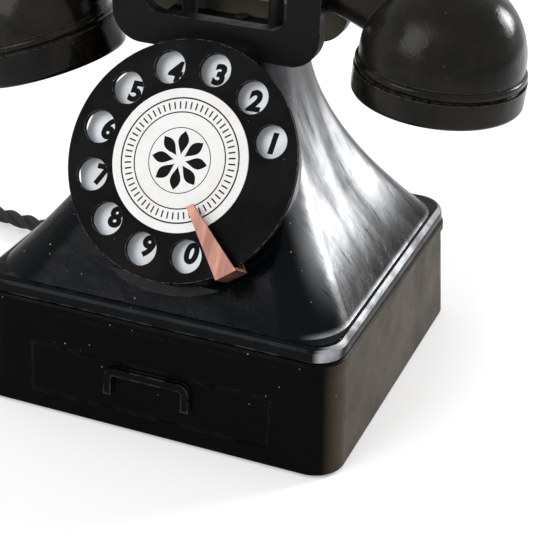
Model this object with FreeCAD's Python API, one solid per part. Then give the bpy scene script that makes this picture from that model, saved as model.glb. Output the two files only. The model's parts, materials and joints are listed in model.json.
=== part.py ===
"""Desk telephone with a dial: case, dial, cradle, handset, ringer, drawer and cord.

Millimetres. +X is the right-hand side, -Y the front with the dial, +Z up.
The origin lies on the table, under the middle of the case.
"""
import FreeCAD
import Part
import math
import os

V = FreeCAD.Vector
X_AXIS = V(1, 0, 0)
Y_AXIS = V(0, 1, 0)
Z_AXIS = V(0, 0, 1)

# Fits
RUNNING = 0.05
GAP = 0.4
TOUCH_GAP = 0.3

# Lower case
CASE_BOTTOM_WIDTH = 154.0
CASE_BOTTOM_DEPTH = 150.0
CASE_RIM_WIDTH = 149.0
CASE_RIM_DEPTH = 142.0
CASE_RIM_HEIGHT = 47.5
CASE_CORNER = 12.0
WALL = 3.0
BEAD_PROUD = 1.0
BEAD_HEIGHT = 3.5
BEAD_EDGE = 0.8
FOOT_HEIGHT = 1.5
FOOT_RADIUS = 8.0
PLATE_THICKNESS = 2.0
BOSS_SIZE = 17.0
BOSS_SCREW_SHARE = 0.35
CHASSIS_HEIGHT = 33.0
SCREW_RADIUS = 1.5
SCREW_HEAD_RADIUS = 3.0
SCREW_HEAD_HEIGHT = 1.0
SCREW_LENGTH = 10.0

# Upper housing
EDGE_ROLL = 3.2
EDGE_STEPS = 5
RIM_GROOVE = 0.7
RIM_PROUD = 0.2
SHOULDER_INSET = 3.0
NECK_WIDTH = 54.0
NECK_DEPTH = 42.0
NECK_SHIFT = 7.0
NECK_HEIGHT = 136.0
SHOULDER_CORNER = 20.0
NECK_CORNER = 13.0
FLARE_POWER = 1.72
FLARE_STEPS = 9
FLARE_STEP_POWER = 1.2

# Dial
DIAL_Y = -43.0
DIAL_Z = 104.3
DIAL_TILT = 31.0
WHEEL_RADIUS = 46.0
WHEEL_THICKNESS = 2.0
FINGER_HOLE_RADIUS = 6.3
FINGER_HOLE_PITCH = 36.0
FINGER_HOLE_COUNT = 10
FIRST_HOLE_ANGLE = 21.4
HOLE_STEP = 29.5
CARD_RADIUS = 27.2
CARD_THICKNESS = 0.6
NUMBER_PLATE_RADIUS = 43.0
NUMBER_PLATE_INNER = 25.0
NUMBER_PLATE_THICKNESS = 1.0
WHEEL_CLEARANCE = 3.0
CUP_FLANGE_RADIUS = 42.5
CUP_FLANGE_THICKNESS = 2.0
CUP_RADIUS = 38.0
CUP_WALL = 2.0
CUP_DEPTH = 7.0
WELL_RADIUS = 29.0
WELL_DEPTH = 14.0
COLLAR_RADIUS = 41.0
COLLAR_REACH = 13.0
SHAFT_RADIUS = 3.0
HUB_RADIUS = 11.0
GEAR_MODULE = 0.9
GEAR_TEETH = 36
PINION_TEETH = 12
GEAR_THICKNESS = 2.0
TOOTH_SHARE = 0.42
TOOTH_ABOVE = 0.8
TOOTH_BELOW = 1.1
TOOTH_FOOT = 0.62
TOOTH_TIP = 0.28
GEAR_PLAY = 0.1
GOVERNOR_RADIUS = 5.0
GOVERNOR_LENGTH = 4.0
PINION_SHAFT_RADIUS = 1.5
DRUM_RADIUS = 12.0
DRUM_LENGTH = 4.0
BLADE_SPACING = 4.0
BLADE_INNER = 17.0
BLADE_OUTER = 25.0
BLADE_THICKNESS = 1.0
BLADE_RISE = 1.0
STOP_ANGLE_ELBOW = -52.5
STOP_ANGLE_TIP = -59.0
STOP_TIP_REACH = 18.5
STOP_WIDTH = 8.5
STOP_TIP_WIDTH = 2.8
STOP_THICKNESS = 1.2
STOP_RISE = 5.0
STOP_CLEARANCE = 0.9

# Cradle and hook switch
CRADLE_HALF_WIDTH = 42.5
CRADLE_WINDOW_HALF = 29.0
CRADLE_FLOOR = 6.0
CRADLE_NOTCH_HEIGHT = 149.0
PRONG_HEIGHT = 174.0
CRADLE_CORNER = 12.0
NOTCH_CORNER = 7.0
CRADLE_SCREW_SHARE = 0.75
CRADLE_WALL = 5.5
CRADLE_GAP = 0.5
PLUNGER_RADIUS = 3.0
PLUNGER_X = 18.0
PLUNGER_GAP = 0.5
YOKE_DROP = 20.0
YOKE_HEIGHT = NECK_HEIGHT - YOKE_DROP
YOKE_THICKNESS = 4.0
YOKE_DEPTH = 8.0
BRACKET_DROP = 18.0
BRACKET_HEIGHT = YOKE_HEIGHT - BRACKET_DROP
BRACKET_DEPTH = 12.0
SPRING_RADIUS = 4.0
SPRING_WALL = 1.0
LEAF_HALF = 4.0
LEAF_HEIGHT = 5.0

# Handset
HANDSET_Y = 5.0
HANDLE_END_RISE = 6.6
HANDLE_HALF_HEIGHT = 12.0
HANDLE_HALF_DEPTH = 12.0
HANDLE_WAIST = 0.9
HANDLE_FLARE = 0.8
HANDLE_LIFT = 8.0
HANDLE_CENTRE_HEIGHT = CRADLE_NOTCH_HEIGHT + HANDLE_LIFT + HANDLE_HALF_HEIGHT * HANDLE_WAIST
HANDLE_SHARES = (-1.0, -0.75, -0.4, 0.0, 0.4, 0.75, 1.0)
OVAL_SHARE = 0.999
BUSH_RISE = 8.0
BUSH_PROUD = 1.2
BUSH_REACH = 0.5
RECEIVER_X = 83.2
RECEIVER_Z = 127.2
RECEIVER_TILT = 4.0
TRANSMITTER_X = -81.0
TRANSMITTER_Z = 113.5
TRANSMITTER_TILT = -18.0
CAP_RADIUS = 32.5
RECEIVER_CAP_HEIGHT = 14.2
TRANSMITTER_CAP_HEIGHT = 17.0
BELL_RADIUS = 31.0
BELL_STRAIGHT = 2.0
CAP_FACE = 3.0
CAP_GROOVE = 0.6
CAP_GROOVE_DEPTH = 1.4
CAP_BEAD_INSET = 0.3
CAP_EDGE = 2.0
CAP_BEAD_ROUND = 0.45
BELL_WALL = 4.0
CAPSULE_RADIUS = 23.0
CAPSULE_HEIGHT = 9.0
CAPSULE_RIM = 2.0
DIAPHRAGM_THICKNESS = 0.5
SOUND_HOLE_RADIUS = 1.6
SOUND_HOLE_PITCH = 9.0
SOUND_HOLES = 6

# Drawer
DRAWER_WIDTH = 100.0
DRAWER_HEIGHT = 20.0
DRAWER_BASE = 9.0
DRAWER_BACK = 40.0
DRAWER_WALL = 2.0
PULL_WIDTH = 36.0
PULL_HEIGHT = 11.5
PULL_BASE = 16.0
PULL_RIM = 3.2
PULL_PROUD = 2.2
PULL_CORNER = 4.4
RAIL_WIDTH = 6.0
RAIL_INSET = 6.0

# Ringer and other parts on the chassis
GONG_RADIUS = 19.0
GONG_HEIGHT = 13.0
GONG_WALL = 1.5
GONG_X = 24.0
GONG_Y = 34.0
GONG_LIFT = 5.0
POST_RADIUS = 3.0
CLAPPER_BALL = 3.5
CLAPPER_HEIGHT = 8.0
CLAPPER_PIN_RADIUS = 1.5
CLAPPER_PIN_RISE = 6.0
CLAPPER_HUB_WALL = 2.0
CLAPPER_HUB_HEIGHT = 3.0
CLAPPER_STEM = 1.6
CLAPPER_REACH = 0.55
PIVOT_GAP = 5.0
RINGER_FRAME_THICKNESS = 3.0
GONG_ROUND = 0.7
GONG_INNER_ROUND = 0.6
COIL_SHRINK = 0.5
COIL_RADIUS = 8.0
COIL_LENGTH = 16.0
COIL_X = 12.0
COIL_Y = -8.0
CAN_LENGTH = 44.0
CAN_DEPTH = 16.0
CAN_HEIGHT = 14.0
CAN_ROOM = 11.0
INDUCTION_WIDTH = 18.0
INDUCTION_DEPTH = 30.0
INDUCTION_HEIGHT = 16.0
TERMINAL_WIDTH = 14.0
TERMINAL_DEPTH = 44.0
TERMINAL_HEIGHT = 8.0
SIDE_ROOM = 5.5
TERMINAL_SCREWS = 4

# Cord
CORD_RADIUS = 3.75
CORD_SQUEEZE = 1.0
CORD_LEAD_OUT = 14.0
CORD_LEAD_IN = 12.0
CORD_EXIT_INSET = 21.0
CORD_EXIT_Y = CASE_BOTTOM_DEPTH / 2.0 - CORD_EXIT_INSET
CORD_EXIT_Z = 10.0
GLAND_RADIUS = 6.0
GLAND_LENGTH = 6.0
GLAND_FLANGE = 1.5
CORD_POINTS = [
    (-118.0, 56.0, 4.6),
    (-152.0, 62.0, 4.0),
    (-200.0, 69.0, 4.0),
    (-248.0, 66.0, 4.0),
    (-288.0, 44.0, 4.0),
    (-308.0, 6.0, 4.0),
    (-303.0, -36.0, 4.0),
    (-275.0, -66.0, 4.0),
    (-237.0, -74.0, 4.0),
    (-203.0, -60.0, 7.0),
    (-182.0, -38.0, 27.0),
    (-172.0, -20.0, 56.0),
    (-167.0, -7.0, 90.0),
    (-162.0, 0.0, 113.0),
    (-152.0, 3.5, 131.0),
]
ROUND_SHARE = 0.45

NODES = {}


def box(x_low, x_high, y_low, y_high, z_low, z_high):
    """Return a box between two corners."""
    return Part.makeBox(x_high - x_low, y_high - y_low, z_high - z_low, V(x_low, y_low, z_low))


def rod(radius, length, base, axis=Z_AXIS):
    """Return a solid cylinder."""
    return Part.makeCylinder(radius, length, base, axis)


def ring(outer, inner, length, base, axis=Z_AXIS):
    """Return a cylinder with a bore."""
    extra = axis * 1.0
    return rod(outer, length, base, axis).cut(rod(inner, length + 2.0, base - extra, axis))


def rounded_section(width, depth, corner, height, shift=0.0):
    """Return a rectangle with round corners at one height, as a wire."""
    x = width / 2.0 - corner
    y = depth / 2.0 - corner
    diagonal = corner * math.sqrt(0.5)
    edges = []
    for step in range(4):
        angle = math.radians(90.0 * step)
        sign_x = 1 if step in (0, 3) else -1
        sign_y = 1 if step in (0, 1) else -1
        centre = V(sign_x * x, sign_y * y + shift, height)
        start = centre + V(math.cos(angle), math.sin(angle), 0) * corner
        middle = centre + V(sign_x * diagonal, sign_y * diagonal, 0)
        end = centre + V(-math.sin(angle), math.cos(angle), 0) * corner
        if edges:
            edges.append(Part.LineSegment(last, start).toShape())
        else:
            first = start
        edges.append(Part.Arc(start, middle, end).toShape())
        last = end
    edges.append(Part.LineSegment(last, first).toShape())
    return Part.Wire(edges)


def case_size(height, grow=0.0):
    """Return the lower case's width and depth at one height."""
    share = (height - FOOT_HEIGHT) / (CASE_RIM_HEIGHT - FOOT_HEIGHT)
    width = CASE_BOTTOM_WIDTH + share * (CASE_RIM_WIDTH - CASE_BOTTOM_WIDTH)
    depth = CASE_BOTTOM_DEPTH + share * (CASE_RIM_DEPTH - CASE_BOTTOM_DEPTH)
    return width + 2.0 * grow, depth + 2.0 * grow


def case_solid(grow, low, high):
    """Return the lower case's flared block, grown or shrunk all round."""
    wires = []
    for height in (low, high):
        width, depth = case_size(height, grow)
        wires.append(rounded_section(width, depth, CASE_CORNER + grow, height))
    return Part.makeLoft(wires, True, True)


def case_bead():
    """Return the bead round the rim of the lower case."""
    top = CASE_RIM_HEIGHT
    steps = (
        (top - BEAD_HEIGHT - BEAD_EDGE, 0.0),
        (top - BEAD_HEIGHT, BEAD_PROUD),
        (top - BEAD_EDGE, BEAD_PROUD),
        (top, BEAD_PROUD - BEAD_EDGE),
    )
    wires = []
    for height, proud in steps:
        width, depth = case_size(height, proud)
        wires.append(rounded_section(width, depth, CASE_CORNER + proud, height))
    return Part.makeLoft(wires, True, True)


def boss_places():
    """Return the inner corner of each boss of the case, with its signs."""
    width, depth = case_size(FOOT_HEIGHT, -WALL)
    return [(sx * (width / 2.0 - BOSS_SIZE), sy * (depth / 2.0 - BOSS_SIZE), sx, sy)
            for sx in (1, -1) for sy in (1, -1)]


def boss_axis(place):
    """Return the screw's place in a boss."""
    x, y, sign_x, sign_y = place
    inset = BOSS_SIZE * BOSS_SCREW_SHARE
    return V(x + sign_x * inset, y + sign_y * inset, FOOT_HEIGHT)


def drawer_block(grow, low, high):
    """Return the block that the drawer fills, grown by a clearance."""
    half = DRAWER_WIDTH / 2.0 + grow
    return box(-half, half, low, high, DRAWER_BASE - grow, DRAWER_BASE + DRAWER_HEIGHT + grow)


def make_case():
    """Lower case: flared walls, bead, corner bosses and the drawer's mouth."""
    outer = case_solid(0.0, FOOT_HEIGHT, CASE_RIM_HEIGHT)
    shell = outer.fuse(case_bead()).cut(case_solid(-WALL, FOOT_HEIGHT - 1.0, CASE_RIM_HEIGHT + 1.0))
    low = FOOT_HEIGHT + PLATE_THICKNESS
    for place in boss_places():
        x, y, sign_x, sign_y = place
        corner = V(x if sign_x > 0 else x - 2 * BOSS_SIZE, y if sign_y > 0 else y - 2 * BOSS_SIZE, low)
        block = Part.makeBox(2 * BOSS_SIZE, 2 * BOSS_SIZE, CHASSIS_HEIGHT - low, corner)
        shell = shell.fuse(block.common(outer))
    shell = shell.removeSplitter()
    for place in boss_places():
        shell = shell.cut(rod(SCREW_RADIUS, SCREW_LENGTH, boss_axis(place)))
    shell = shell.cut(drawer_block(GAP, -CASE_BOTTOM_DEPTH, -CASE_RIM_DEPTH / 2.0 + 2 * WALL))
    width, depth = case_size(CORD_EXIT_Z)
    left = V(-width / 2.0 - 2 * WALL, CORD_EXIT_Y, CORD_EXIT_Z)
    shell = shell.cut(rod(GLAND_RADIUS, 4 * WALL, left, X_AXIS))
    rear = V(0, depth / 2.0 - 2 * WALL, CORD_EXIT_Z)
    NODES["lower_case"] = shell.cut(rod(GLAND_RADIUS, 4 * WALL, rear, Y_AXIS))


def make_base_plate():
    """Base plate that closes the case, its screws and its feet."""
    width, depth = case_size(FOOT_HEIGHT, -WALL - GAP / 2.0)
    wire = rounded_section(width, depth, CASE_CORNER - WALL, FOOT_HEIGHT)
    plate = Part.Face(wire).extrude(V(0, 0, PLATE_THICKNESS))
    feet = []
    screws = []
    for place in boss_places():
        axis = boss_axis(place)
        plate = plate.cut(rod(SCREW_RADIUS, PLATE_THICKNESS, axis))
        shank = rod(SCREW_RADIUS, SCREW_LENGTH, axis)
        head = rod(SCREW_HEAD_RADIUS, SCREW_HEAD_HEIGHT, axis - V(0, 0, SCREW_HEAD_HEIGHT))
        screws.append(shank.fuse(head))
        foot = V(axis.x - place[2] * BOSS_SIZE, axis.y, 0)
        feet.append(rod(FOOT_RADIUS, FOOT_HEIGHT, foot))
    NODES["base_plate"] = plate
    NODES["rubber_feet"] = Part.makeCompound(feet)
    NODES["base_screws"] = Part.makeCompound(screws)


def flare_section(share, shrink, height):
    """Return one level of the housing's flare, from shoulder to neck."""
    falling = (1.0 - share) ** FLARE_POWER
    shoulder_width = CASE_RIM_WIDTH - 2.0 * SHOULDER_INSET
    shoulder_depth = CASE_RIM_DEPTH - 2.0 * SHOULDER_INSET
    width = NECK_WIDTH + (shoulder_width - NECK_WIDTH) * falling - 2.0 * shrink
    depth = NECK_DEPTH + (shoulder_depth - NECK_DEPTH) * falling - 2.0 * shrink
    corner = NECK_CORNER + (SHOULDER_CORNER - NECK_CORNER) * falling - shrink
    return rounded_section(width, depth, corner, height, NECK_SHIFT * (1.0 - falling))


def flare_solid(shrink, top):
    """Return the concave body between the shoulder and the neck."""
    low = CASE_RIM_HEIGHT + 2.0 * EDGE_ROLL
    wires = []
    for step in range(FLARE_STEPS):
        share = (step / (FLARE_STEPS - 1.0)) ** FLARE_STEP_POWER
        wires.append(flare_section(share, shrink, low + share * (top - low)))
    return Part.makeLoft(wires, True, False)


def edge_roll():
    """Return the housing's rim: a groove above the case, a low wall and a rolled edge."""
    profile = [(0.0, RIM_GROOVE), (RIM_GROOVE, 0.0)]
    for step in range(EDGE_STEPS):
        angle = math.radians(90.0 * step / (EDGE_STEPS - 1.0))
        profile.append((EDGE_ROLL * (1.0 + math.sin(angle)), EDGE_ROLL * (1.0 - math.cos(angle))))
    wires = []
    for height, inset in profile:
        proud = RIM_PROUD - inset
        width = CASE_RIM_WIDTH + 2.0 * proud
        depth = CASE_RIM_DEPTH + 2.0 * proud
        wires.append(rounded_section(width, depth, CASE_CORNER + proud, CASE_RIM_HEIGHT + height))
    return Part.makeLoft(wires, True, True)


def inner_space():
    """Return the hollow inside the upper housing."""
    width = CASE_RIM_WIDTH - 2.0 * (SHOULDER_INSET + WALL)
    depth = CASE_RIM_DEPTH - 2.0 * (SHOULDER_INSET + WALL)
    wire = rounded_section(width, depth, SHOULDER_CORNER - WALL, CASE_RIM_HEIGHT)
    low = Part.Face(wire).extrude(V(0, 0, 2.0 * EDGE_ROLL))
    return low.fuse(flare_solid(WALL, NECK_HEIGHT - WALL))


def on_dial(shape):
    """Move a shape from the dial's own frame to its place on the housing."""
    frame = FreeCAD.Placement(V(0, DIAL_Y, DIAL_Z), FreeCAD.Rotation(X_AXIS, 90.0 - DIAL_TILT))
    moved = shape.copy()
    moved.Placement = frame.multiply(moved.Placement)
    return moved


def plate_level():
    """Return the number plate's front, in the dial's frame."""
    return -WHEEL_THICKNESS - WHEEL_CLEARANCE


def flange_level():
    """Return the dial flange's front, in the dial's frame."""
    return plate_level() - NUMBER_PLATE_THICKNESS


def collar_level():
    """Return the housing collar's front, in the dial's frame."""
    return flange_level() - CUP_FLANGE_THICKNESS


def make_upper_housing():
    """Upper housing: rolled edge, concave flare, neck and dial collar."""
    outer = edge_roll().fuse(flare_solid(0.0, NECK_HEIGHT))
    collar = on_dial(rod(COLLAR_RADIUS, COLLAR_REACH, V(0, 0, collar_level() - COLLAR_REACH)))
    ceiling = box(-CASE_RIM_WIDTH, CASE_RIM_WIDTH, -CASE_RIM_DEPTH, CASE_RIM_DEPTH, 0, NECK_HEIGHT)
    hollow = inner_space()
    shell = outer.fuse(collar.common(ceiling)).cut(hollow)
    clear = WHEEL_RADIUS + 2.0 * (STOP_CLEARANCE + STOP_THICKNESS)
    front = on_dial(rod(clear, 3 * WHEEL_RADIUS, V(0, 0, collar_level())))
    back = V(0, 0, collar_level() - COLLAR_REACH)
    bore = on_dial(rod(CUP_RADIUS + RUNNING, COLLAR_REACH + WELL_DEPTH, back))
    behind = V(0, 0, collar_level() - CUP_DEPTH - WELL_DEPTH - GAP)
    room = on_dial(rod(WELL_RADIUS + CUP_WALL + GAP, CUP_DEPTH + WELL_DEPTH, behind))
    shell = shell.cut(front).cut(bore).cut(room)
    for x in (PLUNGER_X, -PLUNGER_X):
        shell = shell.cut(rod(PLUNGER_RADIUS + RUNNING, 3 * WALL, V(x, HANDSET_Y, NECK_HEIGHT - 2 * WALL)))
    for place in cradle_screw_places():
        shell = shell.cut(rod(SCREW_RADIUS, 3 * WALL, V(place.x, place.y, NECK_HEIGHT - 2 * WALL)))
    NODES["upper_housing"] = max(shell.Solids, key=lambda solid: solid.Volume)
    return hollow


def finger_hole_centres():
    """Return the finger holes' places on the wheel."""
    angles = [math.radians(FIRST_HOLE_ANGLE + HOLE_STEP * step) for step in range(FINGER_HOLE_COUNT)]
    return [V(FINGER_HOLE_PITCH * math.cos(a), FINGER_HOLE_PITCH * math.sin(a), 0) for a in angles]


def gear_outline(teeth, phase):
    """Return a toothed outline with straight flanks."""
    pitch = GEAR_MODULE * teeth / 2.0
    step = 2.0 * math.pi / teeth
    tip = pitch + TOOTH_ABOVE * GEAR_MODULE
    root = pitch - TOOTH_BELOW * GEAR_MODULE
    points = []
    for tooth in range(teeth):
        middle = phase + tooth * step
        corners = ((root, -TOOTH_FOOT), (tip, -TOOTH_TIP), (tip, TOOTH_TIP), (root, TOOTH_FOOT))
        for radius, offset in corners:
            angle = middle + offset * TOOTH_SHARE * step
            points.append(V(radius * math.cos(angle), radius * math.sin(angle), 0))
    return Part.Face(Part.makePolygon(points + [points[0]]))


def gear_level():
    """Return the gears' back face, in the dial's frame."""
    return collar_level() - CUP_DEPTH - 2.0 * GEAR_THICKNESS


def well_floor():
    """Return the inside floor of the dial's well, in its frame."""
    return collar_level() - CUP_DEPTH - WELL_DEPTH + CUP_WALL


def pinion_place():
    """Return the governor's axis, in the dial's frame."""
    distance = GEAR_MODULE * (GEAR_TEETH + PINION_TEETH) / 2.0 + GEAR_PLAY
    return V(0, -distance, 0)


def make_dial_fixed():
    """Dial cup with its well, number plate, drum and contacts."""
    back = collar_level() - CUP_DEPTH
    flange = ring(CUP_FLANGE_RADIUS, CUP_RADIUS - CUP_WALL, CUP_FLANGE_THICKNESS, V(0, 0, collar_level()))
    wall = ring(CUP_RADIUS, CUP_RADIUS - CUP_WALL, CUP_DEPTH, V(0, 0, back))
    step = ring(CUP_RADIUS, WELL_RADIUS, CUP_WALL, V(0, 0, back))
    well = ring(WELL_RADIUS + CUP_WALL, WELL_RADIUS, WELL_DEPTH, V(0, 0, back - WELL_DEPTH + CUP_WALL))
    floor = rod(WELL_RADIUS + CUP_WALL, CUP_WALL, V(0, 0, back - WELL_DEPTH))
    cup = flange.fuse([wall, step, well, floor])
    under = V(0, 0, back - WELL_DEPTH - CUP_WALL)
    cup = cup.cut(rod(SHAFT_RADIUS + RUNNING, WELL_DEPTH, under))
    cup = cup.cut(rod(PINION_SHAFT_RADIUS + RUNNING, WELL_DEPTH, pinion_place() + under))
    NODES["dial_cup"] = on_dial(cup.removeSplitter())
    plate = ring(NUMBER_PLATE_RADIUS, NUMBER_PLATE_INNER, NUMBER_PLATE_THICKNESS, V(0, 0, flange_level()))
    NODES["number_plate"] = on_dial(plate)
    floor_level = well_floor()
    drum = ring(DRUM_RADIUS, SHAFT_RADIUS + GAP, DRUM_LENGTH, V(0, 0, floor_level))
    NODES["return_spring_drum"] = on_dial(drum)
    blades = []
    for x in (-BLADE_SPACING, 0.0, BLADE_SPACING):
        half = BLADE_THICKNESS / 2.0
        blades.append(box(x - half, x + half, BLADE_INNER, BLADE_OUTER,
                          floor_level, floor_level + DRUM_LENGTH + BLADE_RISE))
    NODES["pulse_contacts"] = on_dial(Part.makeCompound(blades))


def make_dial_rotor():
    """Finger wheel, card, hub, shaft and main gear, which turn together."""
    wheel = rod(WHEEL_RADIUS, WHEEL_THICKNESS, V(0, 0, -WHEEL_THICKNESS))
    for centre in finger_hole_centres():
        behind = centre - V(0, 0, 2 * WHEEL_THICKNESS)
        wheel = wheel.cut(rod(FINGER_HOLE_RADIUS, 3 * WHEEL_THICKNESS, behind))
    NODES["finger_wheel"] = on_dial(wheel)
    NODES["dial_card"] = on_dial(rod(CARD_RADIUS, CARD_THICKNESS, V(0, 0, 0)))
    gear_front = gear_level() + GEAR_THICKNESS
    hub_length = -WHEEL_THICKNESS - gear_front
    NODES["wheel_hub"] = on_dial(ring(HUB_RADIUS, SHAFT_RADIUS, hub_length, V(0, 0, gear_front)))
    shaft_end = well_floor() - CUP_WALL
    NODES["dial_shaft"] = on_dial(rod(SHAFT_RADIUS, -WHEEL_THICKNESS - shaft_end, V(0, 0, shaft_end)))
    gear = gear_outline(GEAR_TEETH, math.radians(-90.0)).extrude(V(0, 0, GEAR_THICKNESS))
    gear.translate(V(0, 0, gear_level()))
    bore = rod(SHAFT_RADIUS, 3 * GEAR_THICKNESS, V(0, 0, gear_level() - GEAR_THICKNESS))
    NODES["main_gear"] = on_dial(gear.cut(bore))


def make_governor():
    """Governor: pinion, spindle and flyweight drum on one axis."""
    phase = math.radians(90.0) + math.pi / PINION_TEETH
    pinion = gear_outline(PINION_TEETH, phase).extrude(V(0, 0, GEAR_THICKNESS))
    pinion.translate(pinion_place() + V(0, 0, gear_level()))
    end = well_floor() - CUP_WALL
    top = gear_level() + 2.0 * GEAR_THICKNESS
    spindle = rod(PINION_SHAFT_RADIUS, top - end, pinion_place() + V(0, 0, end))
    weights = rod(GOVERNOR_RADIUS, GOVERNOR_LENGTH, pinion_place() + V(0, 0, well_floor() + TOUCH_GAP))
    NODES["governor"] = on_dial(pinion.fuse([spindle, weights]))


def make_finger_stop():
    """Bent blade that stops the finger, with its foot and screw."""
    elbow = math.radians(STOP_ANGLE_ELBOW)
    tip = math.radians(STOP_ANGLE_TIP)
    radial = V(math.cos(elbow), math.sin(elbow), 0)
    across = V(-math.sin(elbow), math.cos(elbow), 0)
    inner = radial * (WHEEL_RADIUS + STOP_CLEARANCE)
    outer = radial * (WHEEL_RADIUS + STOP_CLEARANCE + STOP_THICKNESS)
    point = V(math.cos(tip), math.sin(tip), 0) * STOP_TIP_REACH
    half = STOP_WIDTH / 2.0
    corners = [outer - across * half, outer + across * half, point + across * STOP_TIP_WIDTH / 2.0]
    corners += [point - across * STOP_TIP_WIDTH / 2.0]
    blade = Part.Face(Part.makePolygon(corners + [corners[0]])).extrude(V(0, 0, STOP_THICKNESS))
    blade.translate(V(0, 0, STOP_RISE - STOP_THICKNESS))
    low = collar_level()
    lug_corners = [inner - across * half, outer - across * half]
    lug_corners += [outer + across * half, inner + across * half]
    lug = Part.Face(Part.makePolygon(lug_corners + [lug_corners[0]])).extrude(V(0, 0, STOP_RISE - low))
    lug.translate(V(0, 0, low))
    seat = radial * COLLAR_RADIUS
    foot_corners = [seat - across * half, outer - across * half]
    foot_corners += [outer + across * half, seat + across * half]
    foot = Part.Face(Part.makePolygon(foot_corners + [foot_corners[0]])).extrude(V(0, 0, STOP_THICKNESS))
    foot.translate(V(0, 0, low))
    foot = foot.cut(rod(CUP_FLANGE_RADIUS, 4 * STOP_THICKNESS, V(0, 0, low - STOP_THICKNESS)))
    NODES["finger_stop"] = on_dial(blade.fuse([lug, foot]).removeSplitter())


def cradle_screw_places():
    """Return the two screws that hold the cradle to the neck."""
    reach = HANDLE_HALF_DEPTH * CRADLE_SCREW_SHARE
    return [V(0, HANDSET_Y + side * reach, NECK_HEIGHT) for side in (1, -1)]


def corner_arc(start, corner, end):
    """Return the quarter circle that rounds a square corner."""
    centre = start + end - corner
    middle = centre + (corner - centre) * math.sqrt(0.5)
    return Part.Arc(start, middle, end).toShape()


def cradle_outline():
    """Return the front view of one cradle wall with its two prongs."""
    low = NECK_HEIGHT
    notch = CRADLE_NOTCH_HEIGHT
    outer = CRADLE_HALF_WIDTH
    inner = CRADLE_WINDOW_HALF
    top = PRONG_HEIGHT - (outer - inner) / 2.0
    middle = (outer + inner) / 2.0
    foot = outer - CRADLE_CORNER
    bend = inner - NOTCH_CORNER
    right_cap = Part.Arc(V(outer, 0, top), V(middle, 0, PRONG_HEIGHT), V(inner, 0, top)).toShape()
    left_cap = Part.Arc(V(-inner, 0, top), V(-middle, 0, PRONG_HEIGHT), V(-outer, 0, top)).toShape()
    edges = [
        corner_arc(V(foot, 0, low), V(outer, 0, low), V(outer, 0, low + CRADLE_CORNER)),
        Part.LineSegment(V(outer, 0, low + CRADLE_CORNER), V(outer, 0, top)).toShape(),
        right_cap,
        Part.LineSegment(V(inner, 0, top), V(inner, 0, notch + NOTCH_CORNER)).toShape(),
        corner_arc(V(inner, 0, notch + NOTCH_CORNER), V(inner, 0, notch), V(bend, 0, notch)),
        Part.LineSegment(V(bend, 0, notch), V(-bend, 0, notch)).toShape(),
        corner_arc(V(-bend, 0, notch), V(-inner, 0, notch), V(-inner, 0, notch + NOTCH_CORNER)),
        Part.LineSegment(V(-inner, 0, notch + NOTCH_CORNER), V(-inner, 0, top)).toShape(),
        left_cap,
        Part.LineSegment(V(-outer, 0, top), V(-outer, 0, low + CRADLE_CORNER)).toShape(),
        corner_arc(V(-outer, 0, low + CRADLE_CORNER), V(-outer, 0, low), V(-foot, 0, low)),
        Part.LineSegment(V(-foot, 0, low), V(foot, 0, low)).toShape(),
    ]
    return Part.Wire(edges)


def make_cradle():
    """Cradle: two walls with prongs, joined by a floor on the neck."""
    reach = HANDLE_HALF_DEPTH + CRADLE_GAP
    face = Part.Face(cradle_outline())
    front = face.extrude(V(0, CRADLE_WALL, 0))
    rear = front.copy()
    front.translate(V(0, HANDSET_Y - reach - CRADLE_WALL, 0))
    rear.translate(V(0, HANDSET_Y + reach, 0))
    half = CRADLE_HALF_WIDTH - CRADLE_CORNER
    floor = box(-half, half, HANDSET_Y - reach, HANDSET_Y + reach, NECK_HEIGHT, NECK_HEIGHT + CRADLE_FLOOR)
    cradle = front.fuse([rear, floor]).removeSplitter()
    screws = []
    for x in (PLUNGER_X, -PLUNGER_X):
        under = V(x, HANDSET_Y, NECK_HEIGHT - CRADLE_FLOOR)
        cradle = cradle.cut(rod(PLUNGER_RADIUS + RUNNING, 3 * CRADLE_FLOOR, under))
    for place in cradle_screw_places():
        cradle = cradle.cut(rod(SCREW_RADIUS, 3 * CRADLE_FLOOR, place - V(0, 0, CRADLE_FLOOR)))
        shank = rod(SCREW_RADIUS, CRADLE_FLOOR + WALL, place - V(0, 0, WALL))
        head = rod(SCREW_HEAD_RADIUS, SCREW_HEAD_HEIGHT, place + V(0, 0, CRADLE_FLOOR))
        screws.append(shank.fuse(head))
    NODES["cradle"] = cradle
    NODES["cradle_screws"] = Part.makeCompound(screws)


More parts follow.
